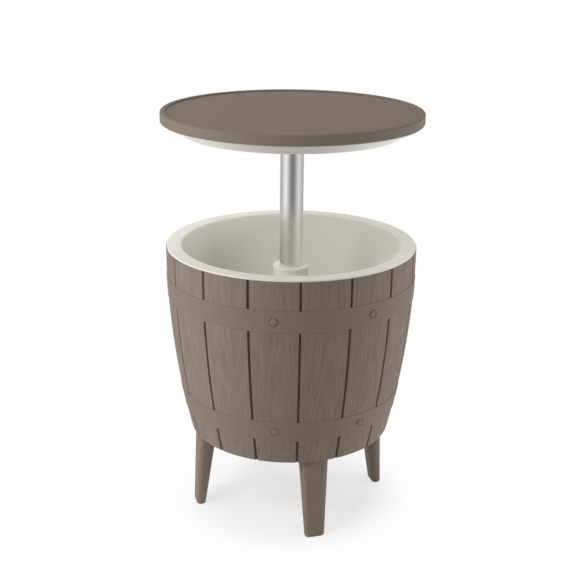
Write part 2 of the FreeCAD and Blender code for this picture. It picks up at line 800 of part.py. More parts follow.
def make_plug_pin():
    pin = doc.addObject("Part::Cylinder", "plug_pin")
    pin.Label = "plug_pin"
    length = (S.pole_radius - S.pin_recess) * 2
    bind(pin, "Radius", S.pin_radius)
    bind(pin, "Height", length)
    sideways = FreeCAD.Rotation(FreeCAD.Vector(0, 1, 0), 90)
    pin.Placement = FreeCAD.Placement(FreeCAD.Vector(0, 0, 0), sideways)
    bind(pin, "Placement.Base.x", -length / 2)
    bind(pin, "Placement.Base.z", pole_bottom + S.pin_rise)
    pieces.append(pin)


def make_guide_fastening():
    """The washer and the bolt that keep the guide on its journal."""
    washer = new_body("guide_washer")
    bore = S.guide_bolt_radius + S.press_clearance
    corners = [
        (bore, washer_bottom), (S.washer_radius, washer_bottom),
        (S.washer_radius, journal_bottom), (bore, journal_bottom),
    ]
    revolve(washer, "ring", corners)
    seat = [(AXIS, AXIS)]
    sizes = (S.guide_bolt_head_radius, S.guide_bolt_head_height, S.guide_bolt_radius)
    length = S.washer_thickness + S.guide_bolt_depth
    make_screws("guide_bolt", seat, None, washer_bottom, length, sizes)


def make_screws(name, points, count, seat, length, sizes=None):
    """Screws driven upwards: heads under the seat height, shanks above it.

    The points are those of one group, of which the object has count round its axis.
    """
    head_radius, head_height, shank_radius = sizes or (
        S.screw_head_radius, S.screw_head_height, S.screw_radius)
    body = new_body(name)
    pillars(body, "heads", points, head_radius, seat, head_height, False)
    under = seat - head_height
    doc.recompute()
    rims = []
    for number, edge in enumerate(body.Shape.Edges, 1):
        if isinstance(edge.Curve, Part.Circle) and abs(edge.Curve.Center.z - under.value) < 0.01:
            rims.append(f"Edge{number}")
    soften(body, "head_edges", rims, head_height / 3)
    pillars(body, "shanks", points, shank_radius, seat, length)
    drive = new_sketch(body, "drive_outline", "XY_Plane", under)
    for across, up in points:
        outline(drive, [(across + x, up + y) for x, y in ring_points(S.screw_drive_radius, 6)])
    feature(body, "Pocket", "drives", drive, Length=S.screw_drive_depth, Reversed=True)
    if SIZES.get(count, 1) > 1:
        repeat_whole(body, getattr(S, count))


def make_table_tray():
    body = new_body("table_tray")
    lip_inner = table_radius - S.lip_width
    skirt_inner = table_radius - S.skirt_thickness
    corners = [
        (AXIS, tray_under), (skirt_inner, tray_under), (skirt_inner, edge_bottom),
        (table_radius, edge_bottom), (table_radius, S.table_height),
        (lip_inner, S.table_height), (lip_inner, tray_surface), (AXIS, tray_surface),
    ]
    revolve(body, "tray", corners)
    outer = [(table_radius, S.table_height)]
    soften(body, "outer_edge", rings_at(body, outer), S.table_edge_round)
    low = [(table_radius, edge_bottom)]
    soften(body, "bottom_edge", rings_at(body, low), S.table_bottom_round)
    lip = [(lip_inner, S.table_height), (lip_inner, tray_surface)]
    soften(body, "lip_edges", rings_at(body, lip), S.lip_round)
    height = tray_under - dish_floor
    screw_points = tray_screw_points() + socket_bolt_points()
    pillars(body, "bosses", screw_points, S.tray_boss_radius, tray_under, height, False)
    holes(body, "boss_holes", screw_points, screw_hole, dish_floor, S.boss_bite)


def tray_screw_points():
    return ring_points(S.tray_screw_radius, SIZES["tray_screw_count"], first_leg / 2)


def socket_bolt_points():
    return ring_points(S.socket_bolt_radius, SIZES["socket_bolt_count"], first_leg)


def make_table_underside():
    body = new_body("table_underside")
    wall = S.underside_wall
    hub = S.socket_hub_radius + S.pass_clearance
    corners = [
        (hub, dish_bottom), (dish_bottom_radius, dish_bottom), (dish_top_radius, flange_bottom),
        (nest_radius, flange_bottom), (nest_radius, tray_under), (nest_radius - wall, tray_under),
        (nest_radius - wall, flange_bottom + wall), (dish_top_radius - wall, flange_bottom + wall),
        (dish_bottom_radius - wall, dish_floor), (hub, dish_floor),
    ]
    revolve(body, "dish", corners)
    bottom = [(dish_bottom_radius, dish_bottom)]
    soften(body, "dish_edge", rings_at(body, bottom), S.dish_round)
    flange = [(nest_radius, flange_bottom)]
    soften(body, "flange_edge", rings_at(body, flange), S.rim_outer_round)
    screw_points = tray_screw_points() + socket_bolt_points()
    holes(body, "screw_holes", screw_points, screw_hole, dish_bottom, wall)


def make_lid_insulation():
    body = new_body("lid_insulation")
    gap = S.foam_clearance
    hub = S.socket_hub_radius + gap
    outer = dish_bottom_radius - S.underside_wall - gap
    top = tray_under - gap
    revolve(body, "disc", [(hub, dish_floor), (outer, dish_floor), (outer, top), (hub, top)])
    boss = S.tray_boss_radius + gap
    height = top - dish_floor
    holes(body, "boss_holes", tray_screw_points() + socket_bolt_points(), boss, dish_floor, height)


def make_pole_socket():
    body = new_body("pole_socket")
    bore = S.pole_radius + S.press_clearance
    top = pole_top + S.socket_cap
    corners = [
        (bore, hub_bottom), (S.socket_hub_radius, hub_bottom), (S.socket_hub_radius, socket_under),
        (S.socket_flange_radius, socket_under), (S.socket_flange_radius, dish_bottom),
        (S.socket_hub_radius, dish_bottom), (S.socket_hub_radius, top), (AXIS, top),
        (AXIS, pole_top), (bore, pole_top),
    ]
    revolve(body, "hub", corners)
    outer = [(S.socket_flange_radius, socket_under)]
    soften(body, "flange_edge", rings_at(body, outer), S.collar_round)
    holes(body, "bolt_holes", socket_bolt_points(), screw_hole, socket_under, S.socket_flange)
    side_hole(body, "screw_hole", hub_bottom + S.socket_screw_rise, screw_hole)


def make_socket_screws():
    """Two short screws through the hub into the tube, one from each side."""
    body = new_body("socket_screws")
    height = hub_bottom + S.socket_screw_rise
    for side, name in ((1, "right"), (-1, "left")):
        seat = S.socket_hub_radius * side
        head = new_sketch(body, f"{name}_head_outline", "YZ_Plane", seat)
        circles(head, [(AXIS, height)], S.screw_head_radius)
        outward = side < 0
        feature(body, "Pad", f"{name}_head", head, Length=S.screw_head_height, Reversed=outward)
        shank = new_sketch(body, f"{name}_shank_outline", "YZ_Plane", seat)
        circles(shank, [(AXIS, height)], S.screw_radius)
        settings = {"Length": S.socket_screw_depth, "Reversed": not outward}
        feature(body, "Pad", f"{name}_shank", shank, **settings)


def loft_through(body, kind, name, sections):
    """A loft through rounded rectangles, each (height, reach, depth, width, corner)."""
    sketches = []
    for number, (height, reach, depth, width, corner) in enumerate(sections):
        sketch = new_sketch(body, f"{name}_{number}_outline", "XY_Plane", height)
        rounded_rectangle(sketch, reach, AXIS, depth, width, corner)
        sketches.append(sketch)
    return feature(body, kind, name, sketches[0], Sections=sketches[1:], Ruled=True)


def make_leg(body):
    """A hollow splayed leg with a tenon on top and a screw tab on its inner side."""
    bevel = S.leg_toe_bevel
    foot_depth, foot_width = S.leg_foot_depth, S.leg_foot_width
    loft_through(body, "AdditiveLoft", "shank", [
        (None, leg_foot_reach, foot_depth - bevel * 2, foot_width - bevel * 2, S.leg_foot_corner - bevel),
        (bevel, leg_foot_reach, foot_depth, foot_width, S.leg_foot_corner),
        (S.barrel_bottom, leg_top_reach, S.leg_top_depth, S.leg_top_width, S.leg_top_corner),
    ])
    tab = new_sketch(body, "tab_outline", "XY_Plane", S.barrel_bottom)
    leg_face = leg_top_reach - S.leg_top_depth / 2
    reach = leg_face + S.tab_overlap - tab_inner_reach
    middle = tab_inner_reach + reach / 2
    rounded_rectangle(tab, middle, AXIS, reach, S.tab_width, S.tab_corner)
    feature(body, "Pad", "tab", tab, Length=S.tab_thickness, Reversed=True)
    tenon = new_sketch(body, "tenon_outline", "XY_Plane", S.barrel_bottom)
    rounded_rectangle(tenon, leg_top_reach, AXIS, S.tenon_depth, S.tenon_width, S.tenon_corner)
    feature(body, "Pad", "tenon", tenon, Length=S.tenon_height)
    narrow = S.leg_hollow_narrowing
    lean = (leg_foot_reach - leg_top_reach) / S.barrel_bottom
    toe_reach = leg_foot_reach - lean * S.leg_toe
    section = (S.leg_hollow_depth - narrow, S.leg_hollow_width - narrow, S.leg_hollow_corner)
    hollow_foot = (S.leg_toe, toe_reach, *section)
    section = (S.leg_hollow_depth, S.leg_hollow_width, S.leg_hollow_corner)
    hollow_top = (S.barrel_bottom, leg_top_reach, *section)
    loft_through(body, "SubtractiveLoft", "hollow", [hollow_foot, hollow_top])
    mouth = new_sketch(body, "mouth_outline", "XY_Plane", S.barrel_bottom)
    rounded_rectangle(mouth, leg_top_reach, AXIS, *section)
    feature(body, "Pocket", "mouth", mouth, Length=S.tenon_height, Reversed=True)
    spots = [(tab_screw_reach, S.tab_screw_spread * side) for side in (-1, 1)]
    holes(body, "screw_holes", spots, screw_hole, S.barrel_bottom, S.tab_thickness, False)


def make_legs():
    """One leg drawn along +X, and clones of it, each turned to its place."""
    names = ["leg_front_right", "leg_back_right", "leg_back_left", "leg_front_left"]
    drawn = None
    for number in range(SIZES["leg_count"]):
        body = new_body(names[number] if number < len(names) else f"leg_{number + 1}")
        if drawn is None:
            drawn = body
            make_leg(body)
        else:
            clone = body.newObject("PartDesign::FeatureBase", "clone")
            clone.BaseFeature = drawn
        turn = FreeCAD.Rotation(FreeCAD.Vector(0, 0, 1), first_leg + leg_pitch * number)
        body.Placement = FreeCAD.Placement(FreeCAD.Vector(0, 0, 0), turn)
    seat = S.barrel_bottom - S.tab_thickness
    make_screws("leg_screws", leg_screw_points()[:2], "leg_count", seat, S.tab_thickness + S.boss_bite)


def place_at_drain(body):
    bind(body, "Placement.Base.y", S.drain_reach)


def make_drain():
    """The flanged pipe, its gasket and its nut, all round the drain's own axis."""
    well_floor = liner_floor - S.well_depth
    gasket_top = well_floor + S.gasket_thickness
    fitting = new_body("drain_fitting")
    flange_top = gasket_top + S.drain_flange
    corners = [
        (S.drain_bore_radius, S.drain_pipe_bottom), (S.drain_pipe_radius, S.drain_pipe_bottom),
        (S.drain_pipe_radius, gasket_top), (S.drain_flange_radius, gasket_top),
        (S.drain_flange_radius, flange_top), (S.drain_bore_radius, flange_top),
    ]
    revolve(fitting, "pipe", corners)
    rims = rings_at(fitting, [(S.drain_bore_radius, flange_top), (S.drain_flange_radius, flange_top)])
    soften(fitting, "flange_edges", rims, S.plug_round)
    place_at_drain(fitting)
    gasket = new_body("drain_gasket")
    inner = S.drain_pipe_radius + S.press_clearance
    corners = [
        (inner, well_floor), (S.drain_flange_radius, well_floor),
        (S.drain_flange_radius, gasket_top), (inner, gasket_top),
    ]
    revolve(gasket, "ring", corners)
    place_at_drain(gasket)
    nut = new_body("drain_nut")
    hexagon = new_sketch(nut, "hexagon_outline", "XY_Plane", S.barrel_bottom)
    reach = S.nut_across / 2 / cosine(30.0)
    outline(hexagon, [(reach * cosine(60.0 * n), reach * sine(60.0 * n)) for n in range(6)])
    feature(nut, "Pad", "hexagon", hexagon, Length=S.nut_height, Reversed=True)
    holes(nut, "bore", [(AXIS, AXIS)], inner, S.barrel_bottom, S.nut_height, False)
    place_at_drain(nut)


def make_drain_plug():
    """The push-in plug with its grip, and the sealing ring in the groove of its stem."""
    body = new_body("drain_plug")
    stem = S.drain_bore_radius - S.running_fit
    head_top = S.drain_pipe_bottom - S.plug_gap
    head_bottom = head_top - S.plug_head_height
    top = head_top + S.plug_stem
    groove_middle = head_top + S.seal_rise
    groove_low = groove_middle - S.seal_thickness / 2 - S.press_clearance
    groove_high = groove_middle + S.seal_thickness / 2 + S.press_clearance
    groove_floor = stem - S.seal_thickness
    corners = [
        (AXIS, head_bottom), (S.plug_head_radius, head_bottom), (S.plug_head_radius, head_top),
        (stem, head_top), (stem, groove_low), (groove_floor, groove_low),
        (groove_floor, groove_high), (stem, groove_high), (stem, top), (AXIS, top),
    ]
    revolve(body, "plug", corners)
    rims = rings_at(body, [(S.plug_head_radius, head_bottom), (stem, top)])
    soften(body, "edges", rims, S.plug_round)
    grip = new_sketch(body, "grip_outline", "XY_Plane", head_bottom)
    corner = S.plug_grip_thickness / 3
    rounded_rectangle(grip, AXIS, AXIS, S.plug_grip_width, S.plug_grip_thickness, corner)
    feature(body, "Pad", "grip", grip, Length=S.plug_grip_height, Reversed=True)
    place_at_drain(body)
    ring = doc.addObject("Part::Torus", "plug_seal")
    ring.Label = "plug_seal"
    bind(ring, "Radius2", S.seal_thickness / 2)
    bind(ring, "Radius1", stem - S.seal_thickness / 2)
    bind(ring, "Placement.Base.y", S.drain_reach)
    bind(ring, "Placement.Base.z", groove_middle)
    pieces.append(ring)


def make_everything():
    make_barrel_shell()
    make_ice_liner()
    make_insulation()
    make_guide_column()
    make_column_collar()
    length = S.shell_floor + S.foot_thickness
    make_screws("column_screws", foot_screw_points()[:1], "foot_screw_count", S.barrel_bottom, length)
    make_lift_guide()
    make_pole_plug()
    make_plug_pin()
    make_guide_fastening()
    make_pole_tube()
    make_pole_socket()
    make_socket_screws()
    bolt_length = S.socket_flange + S.underside_wall + S.boss_bite
    make_screws("socket_bolts", socket_bolt_points()[:1], "socket_bolt_count", socket_under, bolt_length)
    make_table_tray()
    make_table_underside()
    make_lid_insulation()
    screw_length = S.underside_wall + S.boss_bite
    make_screws("tray_screws", tray_screw_points()[:1], "tray_screw_count", dish_bottom, screw_length)
    make_legs()
    make_drain()
    make_drain_plug()


def check_and_write():
    doc.recompute()
    for thing in doc.Objects:
        if "Invalid" in thing.State or "Error" in thing.State:
            raise ValueError(f"{thing.Label} has failed: {thing.State}")
        cuts = thing.TypeId in ("PartDesign::Pocket", "PartDesign::SubtractiveLoft")
        if cuts and not thing.Shape.Volume < thing.BaseFeature.Shape.Volume:
            raise ValueError(f"{thing.Label} cuts nothing")
    for piece in pieces:
        if piece.Shape.isNull() or not piece.Shape.isValid() or piece.Shape.Volume <= 0:
            raise ValueError(f"{piece.Label} has no valid shape")
    os.makedirs("parts", exist_ok=True)
    for piece in pieces:
        piece.Shape.exportStep(f"parts/{piece.Label}.step")
        solids = len(piece.Shape.Solids)
        print(f"{piece.Label}: {solids} solid, {piece.Shape.Volume / 1000:.1f} cm3")
    print(f"the table travels {travel.value:.1f} mm")


fill_sheet()
make_everything()
check_and_write()
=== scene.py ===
# %% [markdown]
# # A barrel cooler whose round table is its lid
#
# The real object is a moulded plastic barrel on four short legs. A white bucket hangs inside it, and a round
# table stands over it on an aluminium pole. When the pole slides down, the table's shallow white dish closes
# the bucket. The packed CAD model holds every working part at its true size, so this lesson adds what the eye
# reads next: planks with their grain, domed rivets, soft edges, and the finish of each plastic and metal.

import bmesh
import bpy
import numpy as np
from mathutils import Matrix, Vector


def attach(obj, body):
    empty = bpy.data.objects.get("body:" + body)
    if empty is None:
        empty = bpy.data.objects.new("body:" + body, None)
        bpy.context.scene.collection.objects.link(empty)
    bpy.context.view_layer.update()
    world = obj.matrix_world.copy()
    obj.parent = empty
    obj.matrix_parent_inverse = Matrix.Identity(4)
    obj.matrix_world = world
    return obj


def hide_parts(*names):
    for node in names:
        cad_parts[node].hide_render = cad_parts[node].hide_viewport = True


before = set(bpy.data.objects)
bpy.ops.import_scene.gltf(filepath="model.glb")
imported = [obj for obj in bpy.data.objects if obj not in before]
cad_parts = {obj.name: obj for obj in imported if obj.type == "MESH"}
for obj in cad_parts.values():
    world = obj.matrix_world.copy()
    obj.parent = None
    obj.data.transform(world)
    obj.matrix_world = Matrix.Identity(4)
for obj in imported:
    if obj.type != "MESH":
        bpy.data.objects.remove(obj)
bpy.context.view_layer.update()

# %% [markdown]
# ## From a grid of points to a skin
#
# Nearly every moulded form here is a surface with two parameters: one runs round the object and one runs along
# its outline. If the points are kept as an array of rows and columns, the faces need no thought: each one
# joins a point to its neighbour in the row, and to the two above them. Rows that shrink to a single point
# become a fan of triangles once equal points are merged.

# %% A skin over rows and columns
MM = 0.001
SAME_POINT = 1e-7


def skin(name, grid, ring=False, sharp=38.0):
    """Quads over a grid of points in millimetres, rows by columns. Columns close round, and rows close as well
    when ring is set. Equal points are merged, faces are turned outwards, and an edge is left crisp where its
    faces meet at more than the sharp angle."""
    rows, columns = grid.shape[:2]
    number = np.arange(rows * columns).reshape(rows, columns)
    if ring:
        number = np.vstack([number, number[:1]])
    beside = np.roll(number, -1, axis=1)
    quads = np.stack([number[:-1], beside[:-1], beside[1:], number[1:]], axis=-1).reshape(-1, 4)
    mesh = bpy.data.meshes.new(name)
    mesh.from_pydata(grid.reshape(-1, 3) * MM, [], quads)
    return dress(name, mesh, sharp)


def dress(name, mesh, sharp=38.0):
    """Merges equal points, turns faces outwards, shades the mesh smooth up to the sharp angle and makes its
    object."""
    work = bmesh.new()
    work.from_mesh(mesh)
    bmesh.ops.remove_doubles(work, verts=work.verts, dist=SAME_POINT)
    bmesh.ops.recalc_face_normals(work, faces=work.faces)
    work.to_mesh(mesh)
    work.free()
    mesh.polygons.foreach_set("use_smooth", np.ones(len(mesh.polygons), bool))
    mesh.set_sharp_from_angle(angle=np.radians(sharp))
    piece = bpy.data.objects.new(name, mesh)
    bpy.context.scene.collection.objects.link(piece)
    print(f"{name}: {len(mesh.vertices)} points, {len(mesh.polygons)} faces")
    return piece


# %% [markdown]
# ## Outlines with rounded corners
#
# Moulded plastic has no knife edges, because the mould could not be cut or filled that way. An outline is
# therefore written as its few corners, each with the radius of its round, and every corner is swapped for an
# arc that touches both of its sides. Turned round the upright axis, such an outline gives a rim or a rivet.

# %% Rounded outline, and turning it
def rounded(corners, steps=6):
    """Corners are (radius, height, round). Each inner corner becomes an arc of that round, tangent to both
    sides: its centre lies one round off the first side, and its arm swings by the angle between the sides."""
    spots = np.array([corner[:2] for corner in corners], float)
    runs = [spots[:1]]
    for before, spot, after, corner in zip(spots, spots[1:], spots[2:], corners[1:]):
        inward = (spot - before) / np.linalg.norm(spot - before)
        onward = (after - spot) / np.linalg.norm(after - spot)
        turn = np.arctan2(inward[0] * onward[1] - inward[1] * onward[0], inward @ onward)
        if corner[2] == 0 or abs(turn) < 1e-6:
            runs.append(spot[None])
            continue
        side = np.sign(turn) * np.array([-inward[1], inward[0]])
        middle = spot - corner[2] * np.tan(abs(turn) / 2) * inward + corner[2] * side
        arm = -corner[2] * side
        swing = np.linspace(0, turn, steps + 1)[:, None]
        runs.append(middle + np.cos(swing) * arm + np.sin(swing) * np.array([-arm[1], arm[0]]))
    runs.append(spots[-1:])
    return np.concatenate(runs)


def turned(outline, columns=192):
    """A grid from an outline of radius and height: x is radius times cosine, y is radius times sine."""
    angle = np.linspace(0, 2 * np.pi, columns, endpoint=False)
    radius, height = outline[:, 0, None], outline[:, 1, None]
    return np.stack([radius * np.cos(angle), radius * np.sin(angle), height + 0 * angle], axis=-1)


print("an arc of six steps:", len(rounded([(0, 0, 0), (10, 0, 3), (10, 10, 0)])), "points")

# %% [markdown]
# ## The barrel's line
#
# A barrel is widest near its middle. Here the widest place sits high, just under the rim, and the wall draws in
# towards the floor on one long arc. Everything on the barrel's side is placed by this one line.

# %% Radius of the barrel at a height
BELLY = 244.2
BELLY_HEIGHT = 532.0
BOW = 1540.0
SHELL_FLOOR = 164.5
SHELL_TOP = 541.3
HOOPS = ((216.0, 258.0), (444.0, 486.0))


def barrel_radius(height):
    """A circle of radius BOW whose furthest point from the axis is BELLY, at BELLY_HEIGHT."""
    return BELLY - BOW + np.sqrt(BOW**2 - (np.asarray(height, float) - BELLY_HEIGHT) ** 2)


landmarks = [SHELL_FLOOR, np.mean(HOOPS[0]), np.mean(HOOPS[1]), SHELL_TOP]
print("radius at the floor, the hoops and the top:", np.round(barrel_radius(landmarks), 2))

# %% [markdown]
# ## Sixteen planks in one skin
#
# The real shell is one moulding that imitates a cask: sixteen planks parted by grooves, and two smooth hoops
# that cover the grooves. One way is to model a plank and copy it; but then the seams between the copies would
# have to be welded. It is simpler to keep one closed skin, and to lower its radius wherever a groove runs.
# Two small functions say how deep a groove is beside its middle, and how proud a hoop stands at a height.

# %% Where the grooves and hoops are
PLANKS = 16
GROOVE_DEPTH = 4.2
GROOVE_FOOT = 0.9
GROOVE_SHOULDER = 2.8
HOOP_PROUD = 1.0
HOOP_ROUND = 0.8


def groove_share(off):
    """1 on the groove's flat foot, 0 beyond its shoulder, and the smooth step 3t^2 - 2t^3 between."""
    t = np.clip((GROOVE_SHOULDER - np.abs(off)) / (GROOVE_SHOULDER - GROOVE_FOOT), 0, 1)
    return t * t * (3 - 2 * t)


def hoop_rise(height):
    """How far the hoops stand proud: zero off them, then a quarter round of HOOP_ROUND up to HOOP_PROUD."""
    inside = np.max([np.minimum(height - low, high - height) for low, high in HOOPS], axis=0)
    t = np.clip(inside, 0, HOOP_ROUND)
    arc = HOOP_PROUD - HOOP_ROUND + np.sqrt(HOOP_ROUND**2 - (HOOP_ROUND - t) ** 2)
    return np.where(inside < 0, 0.0, arc)


print("groove across its width:", np.round(groove_share(np.array([0, 1, 1.5, 2, 2.5])), 2))

# %% [markdown]
# ## Rows only where something happens
#
# An even grid fine enough for the smallest step would run to millions of points. Here the rows crowd together
# at each edge of a hoop and round each rivet, so that a small step stays crisp, and lie 9 mm apart elsewhere.
# The outline starts under the floor, climbs the wall, turns over the top edge and goes down inside, because a
# closed skin can't be seen through from any side.

# %% Rows of the barrel, from its floor's underside over the top edge to its floor's inside
RIVET_TURNS = np.radians([-67.5, -22.5, 112.5, 157.5])
RIVET_HEIGHTS = (237.0, 465.0)
PIT = np.linspace(-10, 10, 25)
SHELL_WALL = 6
edge_rows = np.array([-2.0, -0.6, -0.02, 0.0, 0.04, 0.12, 0.3, 0.55, 0.8, 1.6])
wall_rows = np.concatenate(
    [np.arange(184, 540, 9.0)]
    + [level + PIT for level in RIVET_HEIGHTS]
    + [low + edge_rows for low, high in HOOPS]
    + [high - edge_rows for low, high in HOOPS])
wall_rows = np.unique(np.round(wall_rows, 3))
wall = np.stack([barrel_radius(wall_rows), wall_rows], axis=-1)
foot = rounded([(0, SHELL_FLOOR, 0), (150, SHELL_FLOOR, 0), (barrel_radius(SHELL_FLOOR), SHELL_FLOOR, 3.0),
                (barrel_radius(178), 178, 0)], steps=8)
lip = rounded([(barrel_radius(540), 540.0, 0), (barrel_radius(SHELL_TOP), SHELL_TOP, 0.6),
               (barrel_radius(SHELL_TOP) - SHELL_WALL, SHELL_TOP, 0)], steps=4)
inside_levels = np.array([500.0, 440, 380, 320, 260, 200])
inside = np.stack([barrel_radius(inside_levels) - SHELL_WALL, inside_levels], axis=-1)
inner_floor = SHELL_FLOOR + SHELL_WALL
base = np.array([[barrel_radius(inner_floor) - SHELL_WALL, inner_floor], [100, inner_floor], [0, inner_floor]])
outline = np.concatenate([foot, wall, lip, inside, base])
outer_rows = np.arange(len(outline)) < len(foot) + len(wall) + len(lip) - 1
print("rows:", len(outline), "of them on the outside:", int(outer_rows.sum()))

# %% [markdown]
# ## Columns that follow the planks
#
# A groove keeps its width while the barrel narrows, so its angle grows towards the floor. The columns beside a
# groove are therefore given in millimetres, and divided by the radius of each row. They come out as a whole
# array of angles, one for each row and column.

# %% Columns of the barrel: from one groove to the next, crowded at the grooves and at the rivets
half_plank = np.pi / PLANKS
height = outline[:, 1, None]
near = np.array([0.0, 0.8, 1.2, 1.6, 2.0, 2.4, 2.8, 3.2]) / barrel_radius(height)
rivet_planks = np.round(RIVET_TURNS / (2 * half_plank)).astype(int) % PLANKS


def plank_columns(number):
    """Angles across one plank, measured from its middle: crowded at both grooves, spread between."""
    middle = (PIT if number in rivet_planks else np.array([-10.0, 0, 10.0])) / barrel_radius(height)
    left = near - half_plank
    gap = middle[:, :1] - left[:, -1:]
    spread = left[:, -1:] + gap * np.array([0.3, 0.65])
    right = -np.concatenate([left[:, 1:], spread], axis=1)[:, ::-1]
    return np.concatenate([left, spread, middle, right], axis=1) + 2 * half_plank * number


angle = np.concatenate([plank_columns(number) for number in range(PLANKS)], axis=1)
to_groove = half_plank - np.abs((angle + half_plank) % (2 * half_plank) - half_plank)
print("columns:", angle.shape[1])

# %% [markdown]
# ## One radius for every point
#
# With the angles known, the skin is a single array of radii. The grooves are cut first, but never through a
# hoop, then the hoops are raised, and last a shallow round pit is sunk wherever a rivet will sit.

# %% The barrel's radius everywhere
PIT_DEPTH = 1.9
PIT_RADIUS = 9.4
PIT_SLOPE = 1.2
covered = hoop_rise(height) > 0
cut = GROOVE_DEPTH * groove_share(to_groove * barrel_radius(height))
rise = np.where(outer_rows[:, None], hoop_rise(height), 0)
uncut = covered | ~outer_rows[:, None]
radius = np.minimum(outline[:, 0, None] + rise, np.where(uncut, np.inf, barrel_radius(height) - cut))
for turn in RIVET_TURNS:
    for level in RIVET_HEIGHTS:
        sideways = ((angle - turn + np.pi) % (2 * np.pi) - np.pi) * barrel_radius(level)
        t = np.clip((PIT_RADIUS - np.hypot(sideways, height - level)) / PIT_SLOPE, 0, 1)
        radius = radius - np.where(outer_rows[:, None], PIT_DEPTH * t * t * (3 - 2 * t), 0)
grid = np.stack([radius * np.cos(angle), radius * np.sin(angle), height + 0 * angle], axis=-1)
stave_barrel = skin("stave_barrel", grid, sharp=32.0)

# %% [markdown]
# ## Rivet heads on the hoops
#
# Two pairs of rivets sit on each hoop, as if they closed its ends. Each is a small dome in a ring-shaped groove,
# so the eye sees a dark circle round a soft highlight. The barrel's skin already dips where they go. Pushing the
# skin's own points out to a dome would need a far finer grid, so a rivet is an outline of its own, turned on its
# own axis.

# %% One rivet, lying flat
DOME_RADIUS = 6.0
DOME_EDGE = 0.55
DOME_RISE = 0.95
moat = rounded([(0, -2.2, 0), (10.0, -2.2, 0), (10.0, 0.02, 0.02), (9.0, 0.14, 0.12), (8.2, -1.25, 0.2),
                (7.3, -1.25, 0.2), (6.7, 0.15, 0.2), (DOME_RADIUS, DOME_EDGE, 0)], steps=3)
across = np.linspace(DOME_RADIUS, 0.0, 13)
dome = np.stack([across, DOME_EDGE + DOME_RISE * (1 - (across / DOME_RADIUS) ** 2) ** 0.7], axis=-1)
rivet = turned(np.concatenate([moat, dome[1:]]), columns=48)
print(f"rivet: {2 * rivet[..., 0].max():.0f} mm across, its dome {rivet[..., 2].max():.1f} mm high")

# %% [markdown]
# ## Eight rivets, wrapped on the hoops
#
# Set flat on a round barrel, a rivet would lift at its sides. It is bent instead: its sideways reach becomes an
# angle round the barrel, and its height above the hoop is added to the barrel's radius, so that its rim lies
# flush all round. The eight together are one piece.

# %% Wrapping and gathering
def on_hoop(shape, turn, level):
    """Wraps a flat shape on the hoop: angle is turn plus sideways over radius, height is level plus upward, and
    radius is the hoop's radius at that height plus the shape's third coordinate."""
    around = turn + shape[..., 0] / barrel_radius(level)
    up = level + shape[..., 1]
    out = barrel_radius(up) + HOOP_PROUD + shape[..., 2]
    return np.stack([out * np.cos(around), out * np.sin(around), up], axis=-1)


def gathered(name, grids, sharp=38.0):
    """One object from several grids, each closed in itself: the numbers of each grid's faces are shifted past
    the points of the grids before it."""
    faces = []
    shift = 0
    for part in grids:
        number = np.arange(part.shape[0] * part.shape[1]).reshape(part.shape[:2]) + shift
        beside = np.roll(number, -1, axis=1)
        faces.append(np.stack([number[:-1], beside[:-1], beside[1:], number[1:]], axis=-1).reshape(-1, 4))
        shift += number.size
    mesh = bpy.data.meshes.new(name)
    mesh.from_pydata(np.concatenate([part.reshape(-1, 3) for part in grids]) * MM, [], np.concatenate(faces))
    return dress(name, mesh, sharp)


rivets = [on_hoop(rivet, turn, level) for turn in RIVET_TURNS for level in RIVET_HEIGHTS]
rivet_heads = gathered("rivet_heads", rivets)

# %% [markdown]
# ## Legs
#
# Each leg is a rounded box that narrows and leans outwards, with a soft toe. A box with a Bevel modifier would do
# for a straight leg, but here the corners' round shrinks with the leg. A stack of rounded rectangles gives that
# at once, because each one is written by its own depth, width and corner.

# %% A rounded rectangle
def rounded_rectangle(depth, width, corner, steps=8):
    """Four quarter circles, their centres one corner in from both sides. The arrays run over the last axis."""
    swing = np.linspace(0, np.pi / 2, steps)
    quarter = np.arange(4)[:, None] * np.pi / 2
    turn = (quarter + swing).ravel()
    sign_x = np.repeat([1, -1, -1, 1], steps)
    sign_y = np.repeat([1, 1, -1, -1], steps)
    depth, width, corner = (np.asarray(value, float)[..., None] for value in (depth, width, corner))
    x = sign_x * (depth / 2 - corner) + corner * np.cos(turn)
    y = sign_y * (width / 2 - corner) + corner * np.sin(turn)
    return x, y


print("points on a rounded rectangle:", rounded_rectangle(20, 30, 4)[0].size)

# %% [markdown]
# ## A leg, and its tab
#
# Straight lines join the rectangles from the barrel's floor to the toe, where a quarter circle draws them in. A
# tab on the inner side takes the two screws that hold the leg to the floor.

# %% One leg, pointing along +X
# Reach from the axis, depth, width and corner of the leg, at its top and where it would meet the floor.
LEG_TOP = np.array([174.21, 36.5, 56.0, 14.0])
LEG_FOOT = np.array([190.21, 18.5, 39.0, 8.5])
TOE_ROUND = 4.0
# The tab's thickness, how far its middle is from the axis, and its depth, width and corner.
TAB_THICKNESS = 5.0
TAB_REACH = 148.7
TAB_SIZE = (31, 40, 4)


